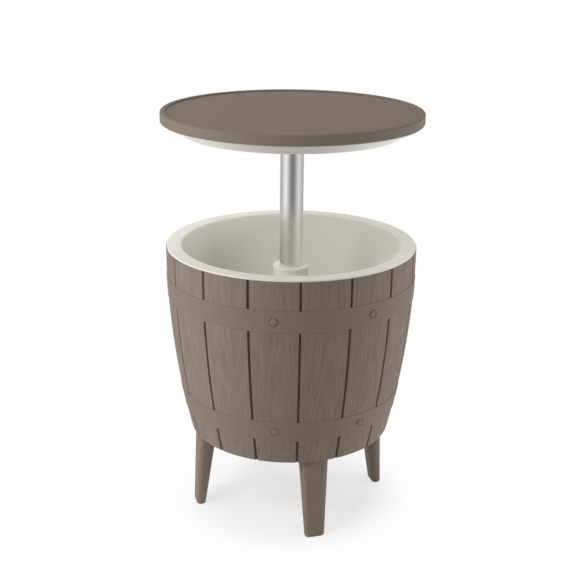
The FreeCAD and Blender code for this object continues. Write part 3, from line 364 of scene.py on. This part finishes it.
def leg_grid():
    """Rows of rounded rectangles along +X: the sizes run straight from top to foot, and the toe's quarter circle
    draws the last rows in by TOE_ROUND times one minus the cosine."""
    level = np.concatenate([[SHELL_FLOOR, SHELL_FLOOR], np.linspace(SHELL_FLOOR - 1, TOE_ROUND, 12)])
    sizes = LEG_FOOT + (LEG_TOP - LEG_FOOT) * (level / SHELL_FLOOR)[:, None]
    swing = np.linspace(0, np.pi / 2, 7)[1:]
    draw = TOE_ROUND * (1 - np.cos(swing))
    toe = sizes[-1] - draw[:, None] * np.array([0, 2, 2, 1])
    sizes = np.concatenate([sizes, toe, toe[-1:] * [1, 0, 0, 0]])
    level = np.concatenate([level, TOE_ROUND * (1 - np.sin(swing)), [0]])
    sizes[0, 1:] = 0
    x, y = rounded_rectangle(sizes[:, 1], sizes[:, 2], sizes[:, 3])
    return np.stack([x + sizes[:, :1], y, level[:, None] + 0 * x], axis=-1)


def tab_grid():
    """The screw tab: a plate from the leg's inner side inwards, under the barrel's floor. Its lower edge is
    rounded a little, by drawing the sides in where the plate ends."""
    level = SHELL_FLOOR - TAB_THICKNESS + np.array([0, 0, 0.3, 0.9, TAB_THICKNESS, TAB_THICKNESS])
    draw = np.array([0, 0.9, 0.3, 0, 0, 0])
    size = np.array([0, 1, 1, 1, 1, 0])
    depth, width, corner = TAB_SIZE
    x, y = rounded_rectangle((depth - 2 * draw) * size, (width - 2 * draw) * size, (corner - draw) * size)
    return np.stack([x + TAB_REACH, y, level[:, None] + 0 * x], axis=-1)


print("rows of a leg and of its tab:", len(leg_grid()), len(tab_grid()))

# %% [markdown]
# ## Four legs
#
# The leg was made once, pointing right, and is turned to each corner. The turn goes into the points and not into
# the object, because a pattern on object coordinates has to stay where it is.

# %% Legs at the corners
def turned_to(grid, degrees):
    """Turns a grid about the upright axis: x becomes x cosine less y sine, and y becomes x sine plus y cosine."""
    cosine, sine = np.cos(np.radians(degrees)), np.sin(np.radians(degrees))
    x, y, z = grid[..., 0], grid[..., 1], grid[..., 2]
    return np.stack([x * cosine - y * sine, x * sine + y * cosine, z], axis=-1)


legs = {}
for corner, degrees in (("front_right", -45), ("back_right", 45), ("back_left", 135), ("front_left", 225)):
    parts = [turned_to(leg_grid(), degrees), turned_to(tab_grid(), degrees)]
    legs[corner] = gathered(f"{corner}_leg", parts, sharp=45.0)

# %% [markdown]
# ## Sums on sockets
#
# A finish is a small calculation that Blender repeats at each point of the surface. Wiring it node by node hides
# the sum being made, so the class below wraps one socket and answers to plus, minus, times and the rest by
# adding the Math node. Its reflected forms let a plain number stand first, as in 1 - mask.

# %% Wire
class Wire:
    """One output socket. Sums written on it add Math nodes to its finish."""

    def __init__(self, finish, socket):
        self.finish = finish
        self.socket = socket

    def maths(self, operation, *values, clamp=False):
        """Adds a Math node over numbers or wires."""
        inputs = dict(enumerate(values))
        return self.finish.node("Math", {"operation": operation, "use_clamp": clamp}, inputs)

    def __add__(self, other):
        return self.maths("ADD", self, other)

    def __sub__(self, other):
        return self.maths("SUBTRACT", self, other)

    def __rsub__(self, other):
        return self.maths("SUBTRACT", other, self)

    def __mul__(self, other):
        return self.maths("MULTIPLY", self, other)

    def __truediv__(self, other):
        return self.maths("DIVIDE", self, other)

    def __mod__(self, other):
        return self.maths("FLOORED_MODULO", self, other)

    def __pow__(self, other):
        return self.maths("POWER", self, other)

    __radd__ = __add__
    __rmul__ = __mul__

    def clamped(self):
        """Kept between 0 and 1."""
        return self.maths("ADD", self, 0.0, clamp=True)

    def sine(self):
        return self.maths("SINE", self)

    def rounded(self):
        return self.maths("ROUND", self)

    def size(self):
        """The number without its sign."""
        return self.maths("ABSOLUTE", self)


print("reflected forms of a wire:", ", ".join(name.strip("_") for name in vars(Wire) if name.startswith("__r")))

# %% [markdown]
# ## A finish under construction
#
# A Finish holds one node tree, of a material or of the world. Its first method adds any kind of node, and the
# others are the few patterns that the finishes below share: noise, a soft step, a mix of two colours and a bump.
# A Math node would turn a colour grey, so colours only ever pass through Mix.

# %% Finish
class Finish:
    """A node tree for a material or the world, with its output node ready."""

    def __init__(self, name, world=False):
        self.owner = bpy.data.worlds.new(name) if world else bpy.data.materials.new(name)
        self.owner.use_nodes = True
        self.tree = self.owner.node_tree
        self.tree.nodes.clear()
        self.end = self.tree.nodes.new("ShaderNodeOutputWorld" if world else "ShaderNodeOutputMaterial")

    def node(self, kind, settings=None, inputs=None, output=0):
        """Adds a node. Settings are its own properties, set first, with a ramp's stops as "stops"; inputs are
        values or wires; output is a socket's name or number, or a tuple of them."""
        made = self.tree.nodes.new("ShaderNode" + kind)
        for name, value in (settings or {}).items():
            if name == "stops":
                for spare in range(len(value) - 2):
                    made.color_ramp.elements.new(0.5)
                for element, (position, colour) in zip(made.color_ramp.elements, value):
                    element.position = position
                    element.color = colour
            else:
                setattr(made, name, value)
        for name, value in (inputs or {}).items():
            if isinstance(value, Wire):
                self.tree.links.new(value.socket, made.inputs[name])
            else:
                made.inputs[name].default_value = value
        if isinstance(output, tuple):
            return tuple(Wire(self, made.outputs[name]) for name in output)
        return Wire(self, made.outputs[output])

    def place(self):
        """Object coordinates, in metres."""
        return self.node("TexCoord", output="Object")

    def apart(self, point):
        """The three coordinates of a place."""
        return self.node("SeparateXYZ", inputs={0: point}, output=("X", "Y", "Z"))

    def stretched(self, point, along):
        """Each coordinate times its own number: one below 1 draws a pattern out along that axis."""
        return self.node("VectorMath", {"operation": "MULTIPLY"}, {0: point, 1: along})

    def noise(self, point, scale, detail=2.0, roughness=0.5, seed=None):
        """Noise about 0.5 at so many lumps a metre; a seed wire picks another noise for each plank."""
        settings = {"noise_dimensions": "3D" if seed is None else "4D"}
        inputs = {"Vector": point, "Scale": scale, "Detail": detail, "Roughness": roughness}
        if seed is not None:
            inputs["W"] = seed
        return self.node("TexNoise", settings, inputs)

    def blend(self, share, first, second, kind="MIX"):
        """The first colour where share is 0 and the second where it is 1; or first times second, for example."""
        settings = {"data_type": "RGBA", "blend_type": kind}
        return self.node("Mix", settings, {0: share, 6: first, 7: second}, output=2)

    def toned(self, colour, tone):
        """A colour made lighter or darker by a number."""
        grey = self.node("CombineColor", inputs={0: tone, 1: tone, 2: tone})
        return self.blend(1.0, colour, grey, "MULTIPLY")

    def step(self, value, start, end):
        """0 up to start, 1 from end on, smooth between."""
        settings = {"interpolation_type": "SMOOTHSTEP"}
        return self.node("MapRange", settings, {"Value": value, "From Min": start, "From Max": end})

    def bump(self, height, depth, strength=1.0):
        """A normal tilted as if the surface rose by height times a depth in metres."""
        inputs = {"Height": height, "Distance": depth, "Strength": strength}
        return self.node("Bump", inputs=inputs, output="Normal")

    def close(self, shader):
        """Joins the shader to the output, and gives the finished material or world."""
        self.tree.links.new(shader.socket, self.end.inputs["Surface"])
        return self.owner


def tint(red, green, blue, times=1.0):
    """A colour as a socket takes it, with each part times a number and an alpha of 1."""
    return (red * times, green * times, blue * times, 1.0)


print("a middle taupe, as a socket takes it:", tint(0.2, 0.16, 0.13))

# %% [markdown]
# ## The planks' grain
#
# The mould is cut with a wood pattern: long fine streaks, and here and there the pointed arches that flat-sawn
# boards show. The arches are level lines of one simple height: the distance along the plank, plus the square of
# the distance across it. Each plank gets its own number from its angle, and that number shifts the pattern, so
# that no figure runs on across a groove. The hoops are smooth, so the grain is switched off on them by height.
# The grooves get a painted shade: their colour is darkened towards brown, standing in for the shade that falls in
# a narrow slot.

# %% Grained taupe
TAUPE = (0.226, 0.174, 0.134)
COOL_TAUPE = (0.212, 0.173, 0.139)
# Painted shade for the grooves: the dark brown that a groove's colour blends towards, and the distances from its
# middle over which that painted shade fades out.
GROOVE_PAINTED_SHADE = (0.115, 0.066, 0.042)
GROOVE_SHADE_EDGE = (0.0010, 0.0026)
HOOP_EDGE = 0.0003
ARCH_LENGTH = 0.10
ARCH_WIDTH = 0.013
ARCH_SHIFT = 0.03
GRAIN_DEPTH = 0.00035


def round_barrel(finish, x, y):
    """The plank's number, wrapped so that -8 and 8 are the same plank, the metres across it from its middle, and
    the metres to the middle of the nearest groove."""
    radius = (x * x + y * y) ** 0.5
    turn = x.maths("ARCTAN2", y, x) / (2 * np.pi / PLANKS)
    plank = turn.rounded()
    across = (turn - plank) * radius * (2 * np.pi / PLANKS)
    return plank % float(PLANKS), across, radius * (np.pi / PLANKS) - across.size()


def on_hoops(finish, height):
    """1 on both hoops and 0 off them: a step up at each lower edge, less a step up at its upper edge."""
    masks = []
    for low, high in HOOPS:
        above_low = finish.step(height, low * MM - HOOP_EDGE, low * MM)
        above_high = finish.step(height, high * MM, high * MM + HOOP_EDGE)
        masks.append(above_low - above_high)
    return masks[0] + masks[1]


def grained_taupe():
    """The arches are a sine of the height over ARCH_LENGTH, plus the square of the way across over ARCH_WIDTH.
    Streaks, hairs and broad bands are noise drawn out along the plank."""
    finish = Finish("grained_taupe_finish")
    point = finish.place()
    x, y, z = finish.apart(point)
    plank, across, to_groove = round_barrel(finish, x, y)
    own = finish.node("TexWhiteNoise", {"noise_dimensions": "1D"}, {"W": plank * 1.7 + 0.3}, output="Value")
    bare = 1 - on_hoops(finish, z)
    wobble = finish.noise(finish.stretched(point, (1, 1, 0.2)), 14.0, 3.0, seed=plank * 2.9) - 0.5
    shifted = (across + (own - 0.5) * ARCH_SHIFT) / ARCH_WIDTH
    arches = z / ARCH_LENGTH + shifted * shifted * 0.42 + wobble * 2.2 + own * 7.0
    rings = (arches * (2 * np.pi)).sine() * 0.5 + 0.5
    streaks = finish.noise(finish.stretched(point, (1, 1, 0.018)), 190.0, 3.0, 0.55, seed=plank * 5.3)
    hairs = finish.noise(finish.stretched(point, (1, 1, 0.012)), 520.0, 2.0, 0.5, seed=plank * 1.3)
    broad = finish.noise(finish.stretched(point, (1, 1, 0.12)), 40.0, 2.0, seed=plank * 3.1)
    pores = finish.step(hairs, 0.54, 0.66)
    figure = rings ** 2.0 * 0.20 + streaks * 1.15 + broad * 0.30
    tone = 1 + bare * ((figure - 0.72) * 0.52 - pores * 0.11 + (own - 0.5) * 0.06)
    # Painted shade: the grooves' colour is blended most of the way to dark brown, standing in for the shade that
    # falls in them.
    groove_painted_shade = (1 - finish.step(to_groove, *GROOVE_SHADE_EDGE)) * bare
    speckle = finish.noise(point, 900.0, 1.0)
    body = finish.blend((own * 0.8 + broad * 0.4).clamped(), tint(*TAUPE), tint(*COOL_TAUPE))
    colour = finish.blend(groove_painted_shade * 0.8, finish.toned(body, tone), tint(*GROOVE_PAINTED_SHADE))
    height = ((figure - 0.80) * 0.8 - pores * 0.5) * bare + speckle * 0.1
    rough = 0.58 - bare * (figure - 0.80) * 0.18 + pores * bare * 0.10
    shader = finish.node("BsdfPrincipled", inputs={
        "Base Color": colour, "Roughness": rough, "IOR": 1.5, "Specular IOR Level": 0.32,
        "Normal": finish.bump(height, GRAIN_DEPTH, 0.8)})
    return finish.close(shader)


print(f"grain: {GRAIN_DEPTH * 1000:.2f} mm deep, an arch every {ARCH_LENGTH * 1000:.0f} mm")

# %% [markdown]
# ## Smooth mouldings
#
# The legs, the table and the white parts come from polished or finely etched moulds. Up close such plastic has a
# slight orange-peel unevenness and a fine etch, and its gloss varies a little where hands and floors have rubbed
# it. One recipe serves them all, with the colour, the gloss and the depth of the etch as its numbers.

# %% Moulded plastic
def moulded(name, colour, rough, etch, mottle=0.02, shine=0.5, rub=0.0, rub_height=0.0):
    """Plastic with an even colour that wanders by mottle, an etch so many metres deep, and a paler, duller rub
    that fades out at rub_height above the floor."""
    finish = Finish(name)
    point = finish.place()
    cloud = finish.noise(point, 7.0, 3.0)
    peel = finish.noise(point, 160.0, 2.0)
    grit = finish.noise(point, 1500.0, 2.0, 0.6)
    worn = 0.0
    if rub:
        x, y, z = finish.apart(point)
        scuffs = finish.step(finish.noise(finish.stretched(point, (1, 1, 2.5)), 260.0, 4.0, 0.7), 0.52, 0.72)
        worn = scuffs * (1 - finish.step(z, 0.0, rub_height)) * rub
    tone = 1 + (cloud - 0.5) * (2 * mottle) + (grit - 0.5) * mottle
    painted = finish.toned(tint(*colour), tone)
    if rub:
        painted = finish.blend(worn, painted, tint(*colour, 1.7))
    gloss = rough + (cloud - 0.5) * 0.10 + (grit - 0.5) * 0.05 + worn * 0.2
    normal = finish.bump(peel * 0.5 + grit * 0.5, etch)
    shader = finish.node("BsdfPrincipled", inputs={
        "Base Color": painted, "Roughness": gloss, "IOR": 1.5, "Specular IOR Level": shine, "Normal": normal})
    return finish.close(shader)


SMOOTH_TAUPE = (0.220, 0.172, 0.135)
TABLE_TAUPE = (0.226, 0.188, 0.152)
WARM_WHITE = (0.830, 0.814, 0.752)
BLACK_NYLON = (0.022, 0.022, 0.024)
smooth_taupe = moulded("smooth_taupe_finish", SMOOTH_TAUPE, 0.54, 0.00005, shine=0.3, rub=0.35, rub_height=0.02)
table_taupe = moulded("table_taupe_finish", TABLE_TAUPE, 0.75, 0.00008, mottle=0.025, shine=0.12)
white_plastic = moulded("white_plastic_finish", WARM_WHITE, 0.38, 0.00004, mottle=0.012)
nylon = moulded("nylon_finish", BLACK_NYLON, 0.45, 0.00006, mottle=0.05)
print("nodes in the legs' finish:", len(smooth_taupe.node_tree.nodes))

# %% [markdown]
# ## Brushed aluminium and zinc
#
# The pole is drawn tube, finished with a belt that runs along it. Each scratch is far longer than it is wide, so
# the noise is squeezed along the height, which spreads a lamp's reflection sideways into a soft bright band.
# Screws and pins are zinc plated: a cool grey with a blotchy gloss.

# %% Metals
ALUMINIUM = (0.82, 0.82, 0.81)
ZINC = (0.60, 0.62, 0.64)


def brushed_aluminium():
    """Scratches are noise drawn out some eighty times along the height. They vary the tone, the roughness and
    the normal, and a coarser cloud varies the first two a little."""
    finish = Finish("brushed_aluminium_finish")
    point = finish.place()
    scratches = finish.noise(finish.stretched(point, (1, 1, 0.012)), 1400.0, 4.0, 0.65)
    cloud = finish.noise(finish.stretched(point, (1, 1, 0.25)), 30.0, 3.0)
    tone = 1 + (scratches - 0.5) * 0.10 + (cloud - 0.5) * 0.03
    colour = finish.toned(tint(*ALUMINIUM), tone)
    rough = 0.24 + (scratches - 0.5) * 0.10 + (cloud - 0.5) * 0.04
    shader = finish.node("BsdfPrincipled", inputs={
        "Base Color": colour, "Metallic": 1.0, "Roughness": rough, "Normal": finish.bump(scratches, 0.000008)})
    return finish.close(shader)


def zinc():
    """Small cells and soft clouds of noise vary the tone, and the clouds the roughness and the normal too."""
    finish = Finish("zinc_finish")
    point = finish.place()
    spangle = finish.node("TexVoronoi", inputs={"Vector": point, "Scale": 700.0}, output="Distance")
    cloud = finish.noise(point, 120.0, 3.0)
    tone = 1 + (cloud - 0.5) * 0.2 + (spangle - 0.4) * 0.1
    colour = finish.toned(tint(*ZINC), tone)
    rough = 0.34 + (cloud - 0.5) * 0.3
    shader = finish.node("BsdfPrincipled", inputs={
        "Base Color": colour, "Metallic": 1.0, "Roughness": rough, "Normal": finish.bump(cloud, 0.00002)})
    return finish.close(shader)


aluminium = brushed_aluminium()
steel = zinc()
print("metals:", aluminium.name, steel.name)

# %% [markdown]
# ## Foam and rubber
#
# Foam blocks show the beads that were steamed together to fill them: cells with a fine line between them. Rubber
# is dark, and its gloss is broken by a dusty bloom.

# %% Foam and rubber
BEAD = (0.86, 0.85, 0.81)
BEAD_SEAM = (0.66, 0.65, 0.60)
RUBBER_BLACK = (0.020, 0.020, 0.021)
RUBBER_BLOOM = (0.048, 0.047, 0.046)


def bead_foam():
    """Beads are cells of Voronoi noise. The seam between two of them fades out 0.14 of a cell from their edge."""
    finish = Finish("foam_finish")
    point = finish.place()
    settings = {"feature": "DISTANCE_TO_EDGE"}
    beads = finish.node("TexVoronoi", settings, {"Vector": point, "Scale": 260.0}, output="Distance")
    body = finish.step(beads, 0.0, 0.14)
    colour = finish.blend(body, tint(*BEAD_SEAM), tint(*BEAD))
    shader = finish.node("BsdfPrincipled", inputs={
        "Base Color": colour, "Roughness": 0.9 - body * 0.1, "Normal": finish.bump(body, 0.0004)})
    return finish.close(shader)


def rubber():
    """A dusty bloom, which is noise through a soft step, pales the black. The bloom also varies the gloss."""
    finish = Finish("rubber_finish")
    point = finish.place()
    bloom = finish.noise(point, 90.0, 4.0, 0.6)
    grit = finish.noise(point, 1300.0, 2.0)
    colour = finish.blend(finish.step(bloom, 0.45, 0.75), tint(*RUBBER_BLACK), tint(*RUBBER_BLOOM))
    shader = finish.node("BsdfPrincipled", inputs={
        "Base Color": colour, "Roughness": 0.62 + (bloom - 0.5) * 0.3, "Normal": finish.bump(grit, 0.00006)})
    return finish.close(shader)


foam = bead_foam()
black_rubber = rubber()
print("foam and rubber:", foam.name, black_rubber.name)

# %% [markdown]
# ## Which piece gets which finish
#
# The packed record names a slot for every CAD node. Nodes whose shape is right keep their mesh, and only the
# material in their slot is swapped. A new piece gets the finish of the slot named for it, and rides on the body
# that carries it.

# %% Finishes onto slots
finishes = {
    "grained_taupe": grained_taupe(), "smooth_taupe": smooth_taupe, "table_taupe": table_taupe,
    "white_plastic": white_plastic, "nylon": nylon, "foam": foam,
    "brushed_aluminium": aluminium, "steel": steel, "rubber": black_rubber}
for name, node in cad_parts.items():
    for slot in node.material_slots:
        slot.material = finishes[slot.material.name.split(".")[0]]
print("finishes:", len(finishes), "on", len(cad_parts), "nodes")


def fit(piece, body, slot, *nodes):
    """Gives a new piece its finish and body, and hides the nodes that it stands for."""
    piece.data.materials.append(finishes[slot])
    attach(piece, body)
    if nodes:
        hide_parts(*nodes)
    print(f"{piece.name}: {slot}, on the {body}")


fit(stave_barrel, "barrel", "grained_taupe", "barrel_shell")
fit(rivet_heads, "barrel", "smooth_taupe")
for corner, leg in legs.items():
    fit(leg, "barrel", "smooth_taupe", f"leg_{corner}")

# %% [markdown]
# ## A studio seen by polished metal
#
# A pole of brushed metal has little colour of its own: it shows the room, squeezed into upright stripes. Lamps
# mirrored in it would wash it out, so the lamps are hidden from glossy rays, and such rays meet a ring of pale
# walls instead. The ring is a colour ramp over the angle round the object, with a bright part on each side and
# a dark one behind the camera, where a studio's open room would be.

# %% The camera's side, and what polished metal sees round about
# Degrees round the object from the camera's side, with how bright the studio's wall is there.
RING = ((-180, 0.44), (-120, 0.50), (-60, 1.10), (-10, 0.24), (20, 0.22), (70, 0.85), (130, 0.45), (180, 0.44))
VIEW = np.radians(29.5)
toward_camera = np.array([np.sin(VIEW), -np.cos(VIEW), 0])
screen_right = np.array([np.cos(VIEW), np.sin(VIEW), 0])


def towards(x, y, direction):
    """How far a place lies along a level direction: x times its first part plus y times its second."""
    return x * float(direction[0]) + y * float(direction[1])


def mirrored(finish, x, y):
    """The colour of the studio in a level direction, read from RING, which gives degrees from the camera's side,
    negative to the left, and a brightness."""
    turn = x.maths("ARCTAN2", towards(x, y, screen_right), towards(x, y, toward_camera)) / (2 * np.pi) + 0.5
    stops = [(degrees / 360 + 0.5, tint(level, level, level)) for degrees, level in RING]
    return finish.node("ValToRGB", {"stops": stops}, {"Fac": turn})


print("brightest and darkest wall:", max(level for _, level in RING), min(level for _, level in RING))

# %% [markdown]
# ## The floor
#
# A white floor that is only painted would come out grey, because it gets less light than a white page needs.
# Light Path helps here: to the camera, the floor glows white by itself, and near the object part of that glow
# gives way to paint, which takes the object's shadow. The soft light that the floor throws back comes from its
# paint alone, so the glow doesn't brighten the object. In front, that paint is dark, as a studio floor is where
# the paper ends. Polished metal meets the ring of walls in the floor as well, except close by.

# %% Floor
WHITE = tint(1, 1, 1)
PAPER = tint(0.95, 0.95, 0.95)
PAPER_BOUNCE = tint(0.86, 0.86, 0.86)
STUDIO_FLOOR = tint(0.30, 0.30, 0.30)
SHADOW_SHARE = 0.38


def studio_white():
    """Glow and paint are mixed by distance from the object's axis: to the camera the paint's share is
    SHADOW_SHARE near the object and nothing from 0.29 m on, and to glossy and clear rays the glow takes over
    between 0.15 and 0.42 m."""
    finish = Finish("studio_white")
    x, y, _ = finish.apart(finish.place())
    distance = (x * x + y * y) ** 0.5
    camera_ray, glossy_ray, clear_ray = finish.node(
        "LightPath", output=("Is Camera Ray", "Is Glossy Ray", "Is Transmission Ray"))
    in_front = finish.step(towards(x, y, toward_camera), 0.9, 2.0)
    bounce = finish.blend(in_front, PAPER_BOUNCE, STUDIO_FLOOR)
    paint = finish.blend(camera_ray, bounce, PAPER)
    matt = finish.node("BsdfDiffuse", inputs={"Color": paint})
    seen = finish.blend(glossy_ray, WHITE, mirrored(finish, x, y))
    glow = finish.node("Emission", inputs={"Color": seen, "Strength": 1.0})
    shaded = 1 - finish.step(distance, 0.14, 0.29)
    far = finish.step(distance, 0.15, 0.42)
    share = camera_ray * (1 - shaded * SHADOW_SHARE) + (glossy_ray + clear_ray) * far
    return finish.close(finish.node("MixShader", inputs={0: share, 1: matt, 2: glow}))


floor_rings = np.array([0.0, 400, 800, 1500, 3000, 8000, 30000])
floor_grid = turned(np.stack([floor_rings, 0 * floor_rings], axis=-1), columns=96)
studio_floor = skin("studio_floor", floor_grid)
studio_floor.data.flip_normals()
print("the floor's faces look up:", studio_floor.data.polygons[0].normal.z > 0)
studio_floor.data.materials.append(studio_white())

# %% [markdown]
# ## The world
#
# The world is white to the camera, and the ring of walls to glossy rays. To all other rays it is an even dim
# grey, which fills the shadows a little and leaves the modelling to the lamps.

# %% World
FILL = tint(0.39, 0.39, 0.39)


def studio_world():
    """FILL to every ray, except that glossy rays meet the ring, and camera and transmission rays meet white."""
    finish = Finish("studio_world", world=True)
    x, y, _ = finish.apart(finish.node("TexCoord", output="Generated"))
    camera_ray, glossy_ray, clear_ray = finish.node(
        "LightPath", output=("Is Camera Ray", "Is Glossy Ray", "Is Transmission Ray"))
    lit = finish.blend(glossy_ray, FILL, mirrored(finish, x, y))
    colour = finish.blend((camera_ray + clear_ray).clamped(), lit, WHITE)
    return finish.close(finish.node("Background", inputs={"Color": colour, "Strength": 1.0}))


bpy.context.scene.world = studio_world()
print("world:", bpy.context.scene.world.name)

# %% [markdown]
# ## Four lamps
#
# Two broad softboxes stand low at the sides, so that the barrel is brightest at its edges and dim in its middle,
# the left one a little warm and the right one a little cool. A small one, high in front on the left, gives the
# legs their shadows on the floor. The last lights the table and the bucket from behind.

# %% Lamps
MIDDLE = Vector((0, 0, 0.45))


def softbox(name, turn, lift, distance, size, power, colour=(1, 1, 1)):
    """A rectangular lamp so many metres off, at a turn to the right of the camera and a lift above the level,
    both in degrees, aimed at the object's middle."""
    turn, lift = np.radians([turn, lift])
    level = toward_camera * np.cos(turn) + screen_right * np.sin(turn)
    place = MIDDLE + Vector(level * np.cos(lift) * distance) + Vector((0, 0, distance * np.sin(lift)))
    light = bpy.data.lights.new(name, "AREA")
    light.shape = "RECTANGLE"
    light.size, light.size_y = size
    light.energy = power
    light.color = colour
    lamp = bpy.data.objects.new(name, light)
    bpy.context.scene.collection.objects.link(lamp)
    lamp.visible_glossy = False
    lamp.location = place
    lamp.rotation_euler = (place - MIDDLE).to_track_quat("Z", "Y").to_euler()
    print(f"{name}: {power} W, {place.z:.2f} m up")


softbox("softbox_left", turn=-78, lift=12, distance=2.1, size=(1.6, 1.4), power=19, colour=(1.0, 0.95, 0.92))
softbox("softbox_key", turn=-48, lift=38, distance=2.2, size=(0.6, 0.6), power=15.8, colour=(1.0, 0.98, 0.97))
softbox("softbox_right", turn=95, lift=3, distance=2.6, size=(1.6, 1.1), power=34, colour=(0.94, 0.97, 1.0))
softbox("softbox_back", turn=175, lift=40, distance=2.4, size=(1.8, 1.0), power=22)

# %% [markdown]
# ## The camera
#
# The camera was worked out from the photograph: the rims and hoops are level circles, and the way their ellipses
# open with height gives its height, its distance and its lens. It leans by a little over half a degree, so its
# three axes are written as vectors and set as a matrix, with no angle left to chance.

# %% Camera
IMAGE_WIDTH = 576
LENS_PIXELS = 1132.5
SHIFT_PIXELS = -2.8
CAMERA_DISTANCE = 2.132
CAMERA_HEIGHT = 1.170
PITCH = np.radians(18.7)
ROLL = np.radians(0.6)
forward = -toward_camera * np.cos(PITCH) - np.array([0, 0, np.sin(PITCH)])
level_up = np.cross(screen_right, forward)
rolled_right = np.cos(ROLL) * screen_right + np.sin(ROLL) * level_up
rolled_up = np.cos(ROLL) * level_up - np.sin(ROLL) * screen_right
seat = toward_camera * CAMERA_DISTANCE + np.array([0, 0, CAMERA_HEIGHT])
lens = bpy.data.cameras.new("studio_camera")
lens.sensor_width = 36.0
lens.lens = lens.sensor_width * LENS_PIXELS / IMAGE_WIDTH
lens.shift_x = SHIFT_PIXELS / IMAGE_WIDTH
lens.clip_end = 200.0
camera = bpy.data.objects.new("studio_camera", lens)
turning = Matrix(np.stack([rolled_right, rolled_up, -forward], axis=-1).tolist()).to_4x4()
camera.matrix_world = Matrix.Translation(Vector(seat)) @ turning
bpy.context.scene.collection.objects.link(camera)
bpy.context.scene.camera = camera
bpy.context.scene.view_settings.view_transform = "Standard"
print("lens:", round(lens.lens, 2), "mm")
